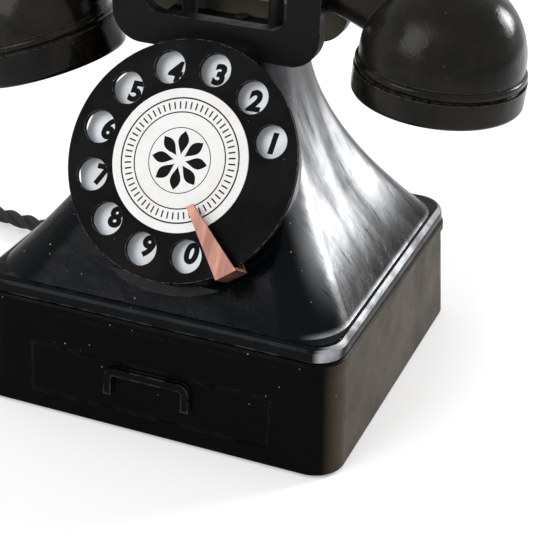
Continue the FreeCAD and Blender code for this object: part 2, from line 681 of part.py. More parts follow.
def make_hook(hollow):
    """Hook switch: yoke with plungers, its bracket, spring and contacts."""
    top = HANDLE_CENTRE_HEIGHT - HANDLE_HALF_HEIGHT * HANDLE_WAIST - PLUNGER_GAP
    reach = PLUNGER_X + PLUNGER_RADIUS
    half = YOKE_DEPTH / 2.0
    bar = box(-reach, reach, HANDSET_Y - half, HANDSET_Y + half, YOKE_HEIGHT, YOKE_HEIGHT + YOKE_THICKNESS)
    yoke = bar
    for x in (PLUNGER_X, -PLUNGER_X):
        yoke = yoke.fuse(rod(PLUNGER_RADIUS, top - YOKE_HEIGHT, V(x, HANDSET_Y, YOKE_HEIGHT)))
    NODES["hook_yoke"] = yoke.removeSplitter()
    depth = BRACKET_DEPTH / 2.0
    strap = box(-CASE_RIM_WIDTH, CASE_RIM_WIDTH, HANDSET_Y - depth, HANDSET_Y + depth,
                BRACKET_HEIGHT, BRACKET_HEIGHT + PLATE_THICKNESS)
    NODES["hook_bracket"] = strap.common(hollow)
    seat = BRACKET_HEIGHT + PLATE_THICKNESS
    centre = V(0, HANDSET_Y, seat)
    NODES["hook_spring"] = ring(SPRING_RADIUS, SPRING_RADIUS - SPRING_WALL, YOKE_HEIGHT - seat, centre)
    NODES["hook_contacts"] = box(-PLUNGER_X - LEAF_HALF, -PLUNGER_X + LEAF_HALF,
                                 HANDSET_Y - half, HANDSET_Y + half, seat, seat + LEAF_HEIGHT)


def bell_frame(x, z, tilt):
    """Return the placement of a bell, with its mouth at the frame's floor."""
    return FreeCAD.Placement(V(x, HANDSET_Y, z), FreeCAD.Rotation(Y_AXIS, tilt))


def placed(shape, frame):
    """Return a copy of a shape moved into a frame."""
    moved = shape.copy()
    moved.Placement = frame.multiply(moved.Placement)
    return moved


def bell_body(cap_height):
    """Return the outer body of one bell above its cap: a short wall and a dome."""
    wall = rod(BELL_RADIUS, BELL_STRAIGHT, V(0, 0, cap_height))
    dome = Part.makeSphere(BELL_RADIUS, V(0, 0, cap_height + BELL_STRAIGHT), Z_AXIS, 0, 90, 360)
    return wall.fuse(dome)


def cap_body(height):
    """Return one screw-on cap: band, bead, face and sound holes."""
    groove = height - BEAD_HEIGHT - CAP_GROOVE
    band = rod(CAP_RADIUS, groove, V(0, 0, 0))
    mouth = [edge for edge in band.Edges if abs(edge.BoundBox.ZMax) < 1e-6]
    band = band.makeFillet(CAP_EDGE, mouth)
    collar = rod(CAP_RADIUS - CAP_GROOVE_DEPTH, CAP_GROOVE, V(0, 0, groove))
    bead = rod(CAP_RADIUS - CAP_BEAD_INSET, BEAD_HEIGHT, V(0, 0, height - BEAD_HEIGHT))
    circles = [edge for edge in bead.Edges if edge.Curve.TypeId == "Part::GeomCircle"]
    bead = bead.makeFillet(BEAD_HEIGHT * CAP_BEAD_ROUND, circles)
    cap = band.fuse([collar, bead])
    cap = cap.cut(rod(BELL_RADIUS - BELL_WALL, height, V(0, 0, CAP_FACE)))
    cap = cap.cut(rod(SOUND_HOLE_RADIUS, 3 * CAP_FACE, V(0, 0, -CAP_FACE)))
    for step in range(SOUND_HOLES):
        angle = 2.0 * math.pi * step / SOUND_HOLES
        place = V(SOUND_HOLE_PITCH * math.cos(angle), SOUND_HOLE_PITCH * math.sin(angle), -CAP_FACE)
        cap = cap.cut(rod(SOUND_HOLE_RADIUS, 3 * CAP_FACE, place))
    return cap


def make_bell(name, frame, cap_height):
    """Make one end's cap, capsule and diaphragm, and return its body and hollow."""
    NODES[name + "_cap"] = placed(cap_body(cap_height), frame)
    inner = BELL_RADIUS - BELL_WALL
    diaphragm = rod(inner - GAP, DIAPHRAGM_THICKNESS, V(0, 0, CAP_FACE))
    NODES[name + "_diaphragm"] = placed(diaphragm, frame)
    seat = CAP_FACE + DIAPHRAGM_THICKNESS
    top = cap_height + CAPSULE_HEIGHT
    rim = ring(inner - GAP, CAPSULE_RADIUS - CAPSULE_RIM, CAPSULE_RIM, V(0, 0, seat))
    core = rod(CAPSULE_RADIUS, top - seat - CAPSULE_RIM, V(0, 0, seat + CAPSULE_RIM))
    NODES[name + "_capsule"] = placed(rim.fuse(core), frame)
    seating = rod(CAP_RADIUS + GAP, 2.0 * cap_height, V(0, 0, -cap_height))
    hollow = rod(inner, top, V(0, 0, 0)).fuse(seating)
    return placed(bell_body(cap_height), frame), placed(hollow, frame)


def dome_centre(frame, cap_height):
    """Return the middle of a bell's dome."""
    return frame.multVec(V(0, 0, cap_height + BELL_STRAIGHT))


def handle_section(share, dome):
    """Return one oval of the handle, turned to follow its arch down to a bell's dome."""
    reach = abs(dome.x)
    drop = HANDLE_CENTRE_HEIGHT - dome.z - HANDLE_END_RISE
    slope = -3.0 * drop * share * abs(share) / reach
    size = HANDLE_WAIST + (1.0 - HANDLE_WAIST) * share * share
    tall = size + HANDLE_FLARE * share ** 4
    oval = Part.Ellipse(V(0, 0, 0), HANDLE_HALF_HEIGHT * tall, HANDLE_HALF_DEPTH * size * OVAL_SHARE)
    wire = Part.Wire(oval.toShape())
    height = HANDLE_CENTRE_HEIGHT - drop * abs(share) ** 3
    turn = FreeCAD.Rotation(Y_AXIS, 90.0 - math.degrees(math.atan(slope)))
    wire.Placement = FreeCAD.Placement(V(reach * share, HANDSET_Y, height), turn)
    return wire


def make_handset():
    """Handset: handle with two bells, what each bell holds, and the cord's bush."""
    right_frame = bell_frame(RECEIVER_X, RECEIVER_Z, RECEIVER_TILT)
    left_frame = bell_frame(TRANSMITTER_X, TRANSMITTER_Z, TRANSMITTER_TILT)
    right, right_hollow = make_bell("receiver", right_frame, RECEIVER_CAP_HEIGHT)
    left, left_hollow = make_bell("transmitter", left_frame, TRANSMITTER_CAP_HEIGHT)
    right_dome = dome_centre(right_frame, RECEIVER_CAP_HEIGHT)
    dome = dome_centre(left_frame, TRANSMITTER_CAP_HEIGHT)
    sections = [handle_section(share, right_dome if share > 0 else dome) for share in HANDLE_SHARES]
    handle = Part.makeLoft(sections, True, False)
    body = handle.fuse([right, left]).cut(right_hollow).cut(left_hollow)
    end = dome.x - BELL_RADIUS - BUSH_PROUD
    height = dome.z + BUSH_RISE
    core = rod(GLAND_RADIUS, dome.x - BELL_RADIUS * BUSH_REACH - end, V(end, HANDSET_Y, height), X_AXIS)
    NODES["handset_handle"] = body
    NODES["handset_cord_bush"] = core.cut(left)
    return V(end, HANDSET_Y, height)


def arch_block(low, inset):
    """Return the pull's outline as a block with rounded upper corners, drawn in by an inset."""
    half = PULL_WIDTH / 2.0 - inset
    top = PULL_BASE + PULL_HEIGHT - inset
    block = box(-half, half, -CASE_BOTTOM_DEPTH, 0, low, top)
    edges = [edge for edge in block.Edges if edge.BoundBox.YLength > 1.0 and edge.CenterOfMass.z > top - GAP]
    return block.makeFillet(PULL_CORNER - inset, edges)


def make_drawer():
    """Directory drawer: front, tray, pull and the rails that carry it."""
    inside = case_solid(-WALL, FOOT_HEIGHT, CASE_RIM_HEIGHT)
    band = case_solid(0.0, FOOT_HEIGHT, CASE_RIM_HEIGHT).cut(inside)
    front = drawer_block(0.0, -CASE_BOTTOM_DEPTH, -CASE_RIM_DEPTH / 2.0 + 2 * WALL)
    NODES["drawer_front"] = front.common(band)
    tray = drawer_block(0.0, -CASE_BOTTOM_DEPTH, DRAWER_BACK)
    half = DRAWER_WIDTH / 2.0 - DRAWER_WALL
    space = box(-half, half, -CASE_BOTTOM_DEPTH, DRAWER_BACK - DRAWER_WALL,
                DRAWER_BASE + DRAWER_WALL, CASE_RIM_HEIGHT)
    NODES["drawer_tray"] = tray.cut(space).common(inside)
    pull = arch_block(PULL_BASE, 0.0).cut(arch_block(PULL_BASE - 1.0, PULL_RIM))
    grown = case_solid(PULL_PROUD, FOOT_HEIGHT, CASE_RIM_HEIGHT)
    pull = pull.common(grown).cut(case_solid(0.0, FOOT_HEIGHT - 1.0, CASE_RIM_HEIGHT + 1.0))
    NODES["drawer_pull"] = pull
    rails = []
    base = FOOT_HEIGHT + PLATE_THICKNESS
    side = DRAWER_WIDTH / 2.0 - RAIL_INSET
    for sign in (1, -1):
        x = sign * side
        rails.append(box(x - RAIL_WIDTH / 2.0, x + RAIL_WIDTH / 2.0,
                         -CASE_RIM_DEPTH / 2.0 + 2.0 * WALL, DRAWER_BACK, base, DRAWER_BASE - TOUCH_GAP))
    NODES["drawer_rails"] = Part.makeCompound(rails)


def make_chassis():
    """Chassis plate on the case's bosses, above the drawer."""
    width, depth = case_size(CHASSIS_HEIGHT, -WALL - GAP)
    wire = rounded_section(width, depth, CASE_CORNER - WALL, CHASSIS_HEIGHT)
    NODES["chassis_plate"] = Part.Face(wire).extrude(V(0, 0, PLATE_THICKNESS))


def gong_cup(radius, height, share, seat):
    """Return a solid cup with a rounded crown."""
    cup = rod(radius, height, seat)
    crown = [edge for edge in cup.Edges if edge.BoundBox.ZMin > seat.z + height - 0.01]
    return cup.makeFillet(GONG_HEIGHT * share, crown)


def make_gongs(floor):
    """Make the two gongs and the posts that carry them."""
    posts = []
    for name, x in (("left_gong", -GONG_X), ("right_gong", GONG_X)):
        seat = V(x, GONG_Y, floor + GONG_LIFT)
        outer = gong_cup(GONG_RADIUS, GONG_HEIGHT, GONG_ROUND, seat)
        inner = gong_cup(GONG_RADIUS - GONG_WALL, GONG_HEIGHT - GONG_WALL, GONG_INNER_ROUND, seat)
        NODES[name] = outer.cut(inner).cut(rod(SCREW_RADIUS, 2 * GONG_HEIGHT, seat))
        under = GONG_LIFT + GONG_HEIGHT - GONG_WALL
        post = rod(POST_RADIUS, under, V(x, GONG_Y, floor))
        stud = rod(SCREW_RADIUS, GONG_WALL + SCREW_HEAD_HEIGHT, V(x, GONG_Y, floor + under))
        head = rod(SCREW_HEAD_RADIUS, SCREW_HEAD_HEIGHT, V(x, GONG_Y, floor + under + GONG_WALL))
        posts.append(post.fuse([stud, head]))
    NODES["gong_posts"] = Part.makeCompound(posts)


def make_clapper(pivot):
    """Make the clapper: hub, stem and ball, swinging on its pin."""
    bore = CLAPPER_PIN_RADIUS + RUNNING
    hub = ring(CLAPPER_PIN_RADIUS + CLAPPER_HUB_WALL, bore, CLAPPER_HUB_HEIGHT, pivot)
    reach = GONG_Y + GONG_RADIUS * CLAPPER_REACH
    half = CLAPPER_STEM / 2.0
    level = pivot.z + CLAPPER_HUB_HEIGHT / 2.0
    near = pivot.y + CLAPPER_PIN_RADIUS + CLAPPER_HUB_WALL / 2.0
    stem = box(-half, half, near, reach, level - half, level + half)
    ball = Part.makeSphere(CLAPPER_BALL, V(0, reach, level))
    NODES["clapper"] = hub.fuse([stem, ball])


def make_ringer():
    """Ringer: gongs on posts, coils on a frame, and the swinging clapper."""
    floor = CHASSIS_HEIGHT + PLATE_THICKNESS
    make_gongs(floor)
    side = COIL_X + COIL_RADIUS
    NODES["ringer_frame"] = box(-side, side, COIL_Y - RINGER_FRAME_THICKNESS, COIL_Y,
                                floor, floor + 2 * COIL_RADIUS)
    coils = []
    for x in (COIL_X, -COIL_X):
        coils.append(rod(COIL_RADIUS - COIL_SHRINK, COIL_LENGTH, V(x, COIL_Y, floor + COIL_RADIUS), Y_AXIS))
    NODES["ringer_coils"] = Part.makeCompound(coils)
    foot = V(0, COIL_Y + COIL_LENGTH + PIVOT_GAP, floor)
    NODES["clapper_pin"] = rod(CLAPPER_PIN_RADIUS, CLAPPER_HEIGHT + CLAPPER_PIN_RISE, foot)
    make_clapper(foot + V(0, 0, CLAPPER_HEIGHT))


def make_electrics():
    """Capacitor, induction coil and terminal block on the chassis."""
    floor = CHASSIS_HEIGHT + PLATE_THICKNESS
    side = CASE_RIM_WIDTH / 2.0 - SHOULDER_INSET - WALL - SIDE_ROOM
    front = CASE_RIM_DEPTH / 2.0 - SHOULDER_INSET - WALL - CAN_ROOM
    NODES["capacitor"] = box(-CAN_LENGTH / 2.0, CAN_LENGTH / 2.0, -front, -front + CAN_DEPTH,
                             floor, floor + CAN_HEIGHT)
    half = INDUCTION_DEPTH / 2.0
    NODES["induction_coil"] = box(-side, -side + INDUCTION_WIDTH, -half, half, floor, floor + INDUCTION_HEIGHT)
    half = TERMINAL_DEPTH / 2.0
    NODES["terminal_block"] = box(side - TERMINAL_WIDTH, side, -half, half, floor, floor + TERMINAL_HEIGHT)
    middle = side - TERMINAL_WIDTH / 2.0
    step = TERMINAL_DEPTH / TERMINAL_SCREWS
    heads = []
    for index in range(TERMINAL_SCREWS):
        seat = V(middle, -half + step * (index + 0.5), floor + TERMINAL_HEIGHT)
        heads.append(rod(SCREW_HEAD_RADIUS, SCREW_HEAD_HEIGHT, seat))
    NODES["terminal_screws"] = Part.makeCompound(heads)


def make_glands():
    """Cord gland in the left wall and the line cord's bush in the back."""
    wall_x = -case_size(CORD_EXIT_Z)[0] / 2.0
    body = rod(GLAND_RADIUS, GLAND_LENGTH, V(wall_x - GLAND_FLANGE, CORD_EXIT_Y, CORD_EXIT_Z), X_AXIS)
    NODES["cord_gland"] = body
    start = V(wall_x - GLAND_FLANGE, CORD_EXIT_Y, CORD_EXIT_Z)
    front = NODES["drawer_pull"].optimalBoundingBox(False, False).YMin
    wall_y = case_size(CORD_EXIT_Z)[1] / 2.0
    inside = V(0, wall_y - GLAND_LENGTH, CORD_EXIT_Z)
    length = -front - wall_y + GLAND_LENGTH
    NODES["line_cord_bush"] = ring(GLAND_RADIUS, CORD_RADIUS - CORD_SQUEEZE, length, inside, Y_AXIS)
    return start


def cord_path(points):
    """Return straight runs joined by tangent arcs, with the arcs' radii."""
    edges = []
    radii = []
    last = points[0]
    for index in range(1, len(points) - 1):
        before = points[index] - points[index - 1]
        after = points[index + 1] - points[index]
        cut = ROUND_SHARE * min(before.Length, after.Length)
        turn = before.getAngle(after)
        radii.append(cut / math.tan(turn / 2.0))
        enter = points[index] - before.normalize() * cut
        leave = points[index] + after.normalize() * cut
        bisector = (after - before).normalize()
        sagitta = radii[-1] * (1.0 / math.cos(turn / 2.0) - 1.0)
        middle = points[index] + bisector * sagitta
        edges.append(Part.LineSegment(last, enter).toShape())
        edges.append(Part.Arc(enter, middle, leave).toShape())
        last = leave
    edges.append(Part.LineSegment(last, points[-1]).toShape())
    return Part.Wire(edges), radii


def make_cord(start, end):
    """Handset cord from the gland to the bush on the handset."""
    points = [start, start - X_AXIS * CORD_LEAD_OUT] + [V(*point) for point in CORD_POINTS]
    finish = end - X_AXIS * TOUCH_GAP
    points += [finish - X_AXIS * CORD_LEAD_IN, finish]
    path, radii = cord_path(points)
    circle = Part.Wire(Part.Circle(start, X_AXIS, CORD_RADIUS).toShape())
    tube = path.makePipeShell([circle], True, True)
    print("cord length %.0f, volume %.0f" % (path.Length, tube.Volume))
    print("cord radii", [round(radius) for radius in radii])
    NODES["handset_cord"] = tube


def main():
    """Build every piece and write one file for each."""
    make_case()
    make_base_plate()
    hollow = make_upper_housing()
    make_dial_fixed()
    make_dial_rotor()
    make_governor()
    make_finger_stop()
    make_cradle()
    make_hook(hollow)
    cord_end = make_handset()
    make_drawer()
    make_chassis()
    make_ringer()
    make_electrics()
    cord_start = make_glands()
    make_cord(cord_start, cord_end)
    os.makedirs("parts", exist_ok=True)
    for name, shape in NODES.items():
        if not shape.isValid():
            print("not valid:", name)
        shape.exportStep("parts/" + name + ".step")
    everything = Part.makeCompound([shape for name, shape in NODES.items() if name != "handset_cord"])
    size = everything.BoundBox
    print(len(NODES), "nodes", size)


main()
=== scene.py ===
"""Dresses the desk telephone: worn black finishes, printed dial, twisted cord and studio.

Metres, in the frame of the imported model: +X right, -Y front with the dial, +Z up.
"""

import json
import logging
import math
from dataclasses import dataclass
from enum import Enum
from typing import Any, ClassVar, Mapping, Sequence

import bpy
import numpy as np
from mathutils import Matrix, Vector

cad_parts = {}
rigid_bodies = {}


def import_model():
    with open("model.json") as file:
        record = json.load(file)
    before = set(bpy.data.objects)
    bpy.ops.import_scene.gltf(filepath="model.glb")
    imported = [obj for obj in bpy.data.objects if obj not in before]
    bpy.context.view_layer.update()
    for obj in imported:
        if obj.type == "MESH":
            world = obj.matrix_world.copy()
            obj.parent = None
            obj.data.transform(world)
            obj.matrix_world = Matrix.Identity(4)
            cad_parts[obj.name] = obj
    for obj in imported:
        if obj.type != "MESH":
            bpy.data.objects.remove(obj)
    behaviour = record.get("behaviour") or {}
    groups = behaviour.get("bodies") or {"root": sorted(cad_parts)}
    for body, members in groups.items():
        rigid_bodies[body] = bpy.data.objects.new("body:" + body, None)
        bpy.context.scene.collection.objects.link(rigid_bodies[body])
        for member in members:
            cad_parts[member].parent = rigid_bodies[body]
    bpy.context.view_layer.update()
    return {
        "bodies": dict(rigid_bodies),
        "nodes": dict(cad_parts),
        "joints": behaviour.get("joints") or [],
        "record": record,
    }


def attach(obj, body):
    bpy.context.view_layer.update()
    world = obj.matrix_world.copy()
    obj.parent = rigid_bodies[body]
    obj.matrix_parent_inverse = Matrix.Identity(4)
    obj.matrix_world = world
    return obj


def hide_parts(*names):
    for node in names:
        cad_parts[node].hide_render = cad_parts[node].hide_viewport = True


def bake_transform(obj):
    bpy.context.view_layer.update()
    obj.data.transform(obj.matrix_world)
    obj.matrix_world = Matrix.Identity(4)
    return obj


LOG = logging.getLogger("telephone")

Colour = tuple[float, float, float, float]
Place = tuple[float, float, float]
Span = tuple[float, float]
Pattern = Mapping[str, float]
Socket = bpy.types.NodeSocket


class Body(str, Enum):
    """The moving bodies that new pieces ride on."""

    BASE = "telephone_base"
    ROTOR = "dial_rotor"
    HANDSET = "handset"


class Slot(str, Enum):
    """The finishes that the model's parts and the new pieces take."""

    CASE_PAINT = "case_paint"
    HANDSET_RESIN = "bakelite"
    MATTE_BLACK = "matte_black"
    ENAMEL = "enamel"
    CARD = "card"
    COPPER = "copper"
    STEEL = "steel"
    BRASS = "brass"
    RUBBER = "rubber"
    COPPER_WIRE = "copper_wire"
    INSULATOR = "insulator"
    CORD_COTTON = "cord_cotton"
    DRAWER_WOOD = "drawer_wood"


class Coordinate(str, Enum):
    """What a pattern is laid out by."""

    PLACE = "Object"
    FACING = "Normal"


def grey(level: float) -> Colour:
    """Returns a neutral colour of one level."""
    return (level, level, level, 1.0)


class Tree:
    """Adds nodes to one node tree and joins them."""

    def __init__(self, tree: bpy.types.NodeTree) -> None:
        """Keeps the tree that the nodes go into."""
        self.tree = tree

    def node(self, kind: str, inputs: Mapping[Any, Any] | None = None, **settings: Any) -> bpy.types.Node:
        """Adds one node, sets its settings and fills its inputs.

        Args:
            kind: Blender's name of the node type.
            inputs: Socket name or index to a value, or to a socket to link.
            settings: Properties of the node itself.

        Returns:
            The new node.
        """
        made = self.tree.nodes.new(kind)
        for key, value in settings.items():
            setattr(made, key, value)
        for key, value in (inputs or {}).items():
            if isinstance(value, bpy.types.NodeSocket):
                self.link(value, made.inputs[key])
            else:
                made.inputs[key].default_value = value
        return made

    def math(self, operation: str, first: Any, second: Any = 0.0, clamp: bool = False) -> Socket:
        """Returns the result of one Math node."""
        made = self.node("ShaderNodeMath", {0: first, 1: second}, operation=operation, use_clamp=clamp)
        return made.outputs[0]

    def times(self, first: Any, second: Any, clamp: bool = False) -> Socket:
        """Returns the product of two values."""
        return self.math("MULTIPLY", first, second, clamp)

    def ramp(self, value: Any, low: Any, high: Any, start: float = 0.0, end: float = 1.0) -> Socket:
        """Returns value eased from start to end while it goes from low to high."""
        inputs = {"Value": value, "From Min": low, "From Max": high, "To Min": start, "To Max": end}
        return self.node("ShaderNodeMapRange", inputs, interpolation_type="SMOOTHSTEP").outputs[0]

    def mix(self, factor: Any, first: Any, second: Any) -> Socket:
        """Returns the colour that lies factor of the way from first to second."""
        made = self.node("ShaderNodeMix", {0: factor, 6: first, 7: second}, data_type="RGBA")
        return made.outputs[2]

    def noise(self, place: Any, scale: Any, detail: float = 4.0, rough: float = 0.55) -> Socket:
        """Returns a noise value at a place, for a scale in cells per metre."""
        inputs = {"Vector": place, "Scale": scale, "Detail": detail, "Roughness": rough}
        return self.node("ShaderNodeTexNoise", inputs).outputs[0]

    def coordinate(self, which: Coordinate) -> Socket:
        """Returns the piece's own place in metres, or the way that its surface faces."""
        return self.node("ShaderNodeTexCoord").outputs[which.value]

    def axes(self, which: Coordinate) -> tuple[Socket, Socket, Socket]:
        """Returns X, Y and Z of a coordinate."""
        parts = self.node("ShaderNodeSeparateXYZ", {0: self.coordinate(which)}).outputs
        return parts[0], parts[1], parts[2]

    def link(self, source: Socket, target: Socket) -> None:
        """Joins an output to an input."""
        self.tree.links.new(source, target)


class Effects:
    """The shader groups that several finishes share, each built once.

    PATCH_NOISE and STREAK_NOISE hold a noise's detail and roughness.
    """

    EDGE_SAMPLES: ClassVar[int] = 6
    EDGE_BREAK: ClassVar[Span] = (0.38, 0.62)
    PATCH_NOISE: ClassVar[Span] = (6.0, 0.6)
    STREAK_NOISE: ClassVar[Span] = (5.0, 0.6)
    SPECK_WARP: ClassVar[float] = 0.3
    SPECK_WARP_SCALE: ClassVar[float] = 1500.0
    BROAD_DETAIL: ClassVar[float] = 2.0
    FINE_DETAIL: ClassVar[float] = 3.0

    def __init__(self) -> None:
        """Builds the groups for edge wear, patches, specks, lumps and streaks."""
        self.edge_wear = self._edge_wear()
        self.patches = self._patches()
        self.specks = self._specks()
        self.lumps = self._lumps()
        self.streaks = self._streaks()

    @staticmethod
    def _group(name: str, inputs: Mapping[str, float], output: str) -> tuple[Tree, Any, Any]:
        """Starts a group with number inputs and one number output.

        Args:
            name: The group's name.
            inputs: Input names with their usual values.
            output: The output's name.

        Returns:
            The group's tree, its input node and its output node.
        """
        group = bpy.data.node_groups.new(name, "ShaderNodeTree")
        for key, value in inputs.items():
            made = group.interface.new_socket(name=key, in_out="INPUT", socket_type="NodeSocketFloat")
            made.default_value = value
        group.interface.new_socket(name=output, in_out="OUTPUT", socket_type="NodeSocketFloat")
        tree = Tree(group)
        return tree, tree.node("NodeGroupInput"), tree.node("NodeGroupOutput")

    @staticmethod
    def _eased(tree: Tree, given: bpy.types.Node, noise: Socket) -> Socket:
        """Eases a noise from 0 to 1 within the group's softness of its level.

        Args:
            tree: The group's tree.
            given: The group's input node.
            noise: The noise to ease.

        Returns:
            The eased noise.
        """
        low = tree.math("SUBTRACT", given.outputs["Level"], given.outputs["Softness"])
        high = tree.math("ADD", given.outputs["Level"], given.outputs["Softness"])
        return tree.ramp(noise, low, high)

    def _edge_wear(self) -> bpy.types.NodeTree:
        """Mask of edges: how far a rounded normal leaves the true one, broken up by noise.

        Returns:
            The group's tree.
        """
        tree, given, out = self._group("edge_wear", {"Radius": 0.001, "Gain": 6.0, "Scale": 300.0}, "Mask")
        rounded = tree.node("ShaderNodeBevel", {"Radius": given.outputs["Radius"]}, samples=self.EDGE_SAMPLES)
        true = tree.node("ShaderNodeNewGeometry").outputs["Normal"]
        dot = tree.node("ShaderNodeVectorMath", {0: rounded.outputs[0], 1: true}, operation="DOT_PRODUCT")
        turn = tree.math("SUBTRACT", 1.0, dot.outputs["Value"], clamp=True)
        edge = tree.times(turn, given.outputs["Gain"], clamp=True)
        noise = tree.noise(tree.coordinate(Coordinate.PLACE), given.outputs["Scale"])
        broken = tree.ramp(noise, *self.EDGE_BREAK)
        tree.link(tree.times(edge, broken, clamp=True), out.inputs["Mask"])
        return tree.tree

    def _patches(self) -> bpy.types.NodeTree:
        """Mask of soft patches: a noise eased over a narrow range round a level.

        Returns:
            The group's tree.
        """
        tree, given, out = self._group("patches", {"Scale": 30.0, "Level": 0.5, "Softness": 0.1}, "Mask")
        noise = tree.noise(tree.coordinate(Coordinate.PLACE), given.outputs["Scale"], *self.PATCH_NOISE)
        tree.link(self._eased(tree, given, noise), out.inputs["Mask"])
        return tree.tree

    def _specks(self) -> bpy.types.NodeTree:
        """Mask of specks: the middles of some cells of a cell pattern, warped by noise.

        Returns:
            The group's tree.
        """
        tree, given, out = self._group("specks", {"Scale": 400.0, "Size": 0.2, "Share": 0.2}, "Mask")
        place = tree.coordinate(Coordinate.PLACE)
        cells = tree.node("ShaderNodeTexVoronoi", {"Vector": place, "Scale": given.outputs["Scale"]})
        chosen = tree.math("LESS_THAN", cells.outputs["Color"], given.outputs["Share"])
        warp = tree.times(tree.noise(place, self.SPECK_WARP_SCALE), self.SPECK_WARP)
        distance = tree.math("ADD", cells.outputs["Distance"], warp)
        reach = tree.math("ADD", given.outputs["Size"], 0.5 * self.SPECK_WARP)
        near = tree.math("LESS_THAN", distance, reach)
        tree.link(tree.times(chosen, near), out.inputs["Mask"])
        return tree.tree

    def _lumps(self) -> bpy.types.NodeTree:
        """Height of an uneven skin: broad waves with a finer grain on them.

        Returns:
            The group's tree.
        """
        tree, given, out = self._group("lumps", {"Broad": 40.0, "Fine": 600.0, "Share": 0.2}, "Height")
        place = tree.coordinate(Coordinate.PLACE)
        broad = tree.noise(place, given.outputs["Broad"], self.BROAD_DETAIL)
        grain = tree.noise(place, given.outputs["Fine"], self.FINE_DETAIL)
        fine = tree.times(grain, given.outputs["Share"])
        tree.link(tree.math("ADD", broad, fine), out.inputs["Height"])
        return tree.tree

    def _streaks(self) -> bpy.types.NodeTree:
        """Mask of streaks and scratches: a noise drawn out up and down, eased round a level.

        Returns:
            The group's tree.
        """
        inputs = {"Across": 300.0, "Along": 20.0, "Level": 0.5, "Softness": 0.1}
        tree, given, out = self._group("streaks", inputs, "Mask")
        x, y, z = tree.axes(Coordinate.PLACE)
        drawn = tree.node("ShaderNodeCombineXYZ", {
            0: tree.times(x, given.outputs["Along"]),
            1: tree.times(y, given.outputs["Across"]),
            2: tree.times(z, given.outputs["Along"]),
        }).outputs[0]
        noise = tree.noise(drawn, 1.0, *self.STREAK_NOISE)
        tree.link(self._eased(tree, given, noise), out.inputs["Mask"])
        return tree.tree


@dataclass(frozen=True)
class Finish:
    """One finish: its own values, and a material made from them."""

    slot: Slot
    colour: Colour = grey(0.01)
    roughness: float = 0.4
    specular: float = 0.5
    title: str = ""

    def build(self, effects: Effects) -> bpy.types.Material:
        """Makes the material.

        Args:
            effects: The shared shader groups.

        Returns:
            A material named for the finish.
        """
        material = bpy.data.materials.new(self.title or f"{self.slot.value}_finish")
        material.use_nodes = True
        tree = Tree(material.node_tree)
        shader = material.node_tree.nodes["Principled BSDF"]
        shader.inputs["Specular IOR Level"].default_value = self.specular
        self.paint(tree, shader, effects)
        return material

    def paint(self, tree: Tree, shader: bpy.types.Node, effects: Effects) -> None:
        """Joins the finish's nodes to the shader. Each finish has its own."""
        raise NotImplementedError

    @staticmethod
    def effect(tree: Tree, group: bpy.types.NodeTree, values: Pattern) -> Socket:
        """Places a shared group with this material's values.

        Args:
            tree: The material's tree.
            group: The group to place.
            values: The group's inputs in this material.

        Returns:
            The group's output.
        """
        made = tree.node("ShaderNodeGroup", node_tree=group)
        for key, value in values.items():
            made.inputs[key].default_value = value
        return made.outputs[0]

    def gloss(self, tree: Tree, mask: Socket, change: Span) -> Socket:
        """Returns the roughness, with the first change where a mask is 0 and the second where it is 1."""
        return tree.ramp(mask, 0.0, 1.0, self.roughness + change[0], self.roughness + change[1])

    @staticmethod
    def drawn(tree: Tree, scale: Place) -> Socket:
        """Returns the piece's own place stretched by a scale along each axis."""
        inputs = {"Vector": tree.coordinate(Coordinate.PLACE), "Scale": scale}
        return tree.node("ShaderNodeMapping", inputs).outputs[0]

    @staticmethod
    def bump(tree: Tree, shader: bpy.types.Node, height: Socket, strength: float, distance: float) -> None:
        """Joins a height to the shader's normal.

        Args:
            tree: The material's tree.
            shader: Its Principled shader.
            height: The height to raise the skin by.
            strength: How much of it shows.
            distance: Its full depth in metres.
        """
        inputs = {"Height": height, "Strength": strength, "Distance": distance}
        normal = tree.node("ShaderNodeBump", inputs).outputs[0]
        tree.link(normal, shader.inputs["Normal"])

    @staticmethod
    def join(tree: Tree, shader: bpy.types.Node, **sockets: Socket) -> None:
        """Links sockets to the shader's inputs, with _ standing for a space."""
        for key, socket in sockets.items():
            tree.link(socket, shader.inputs[key.replace("_", " ")])


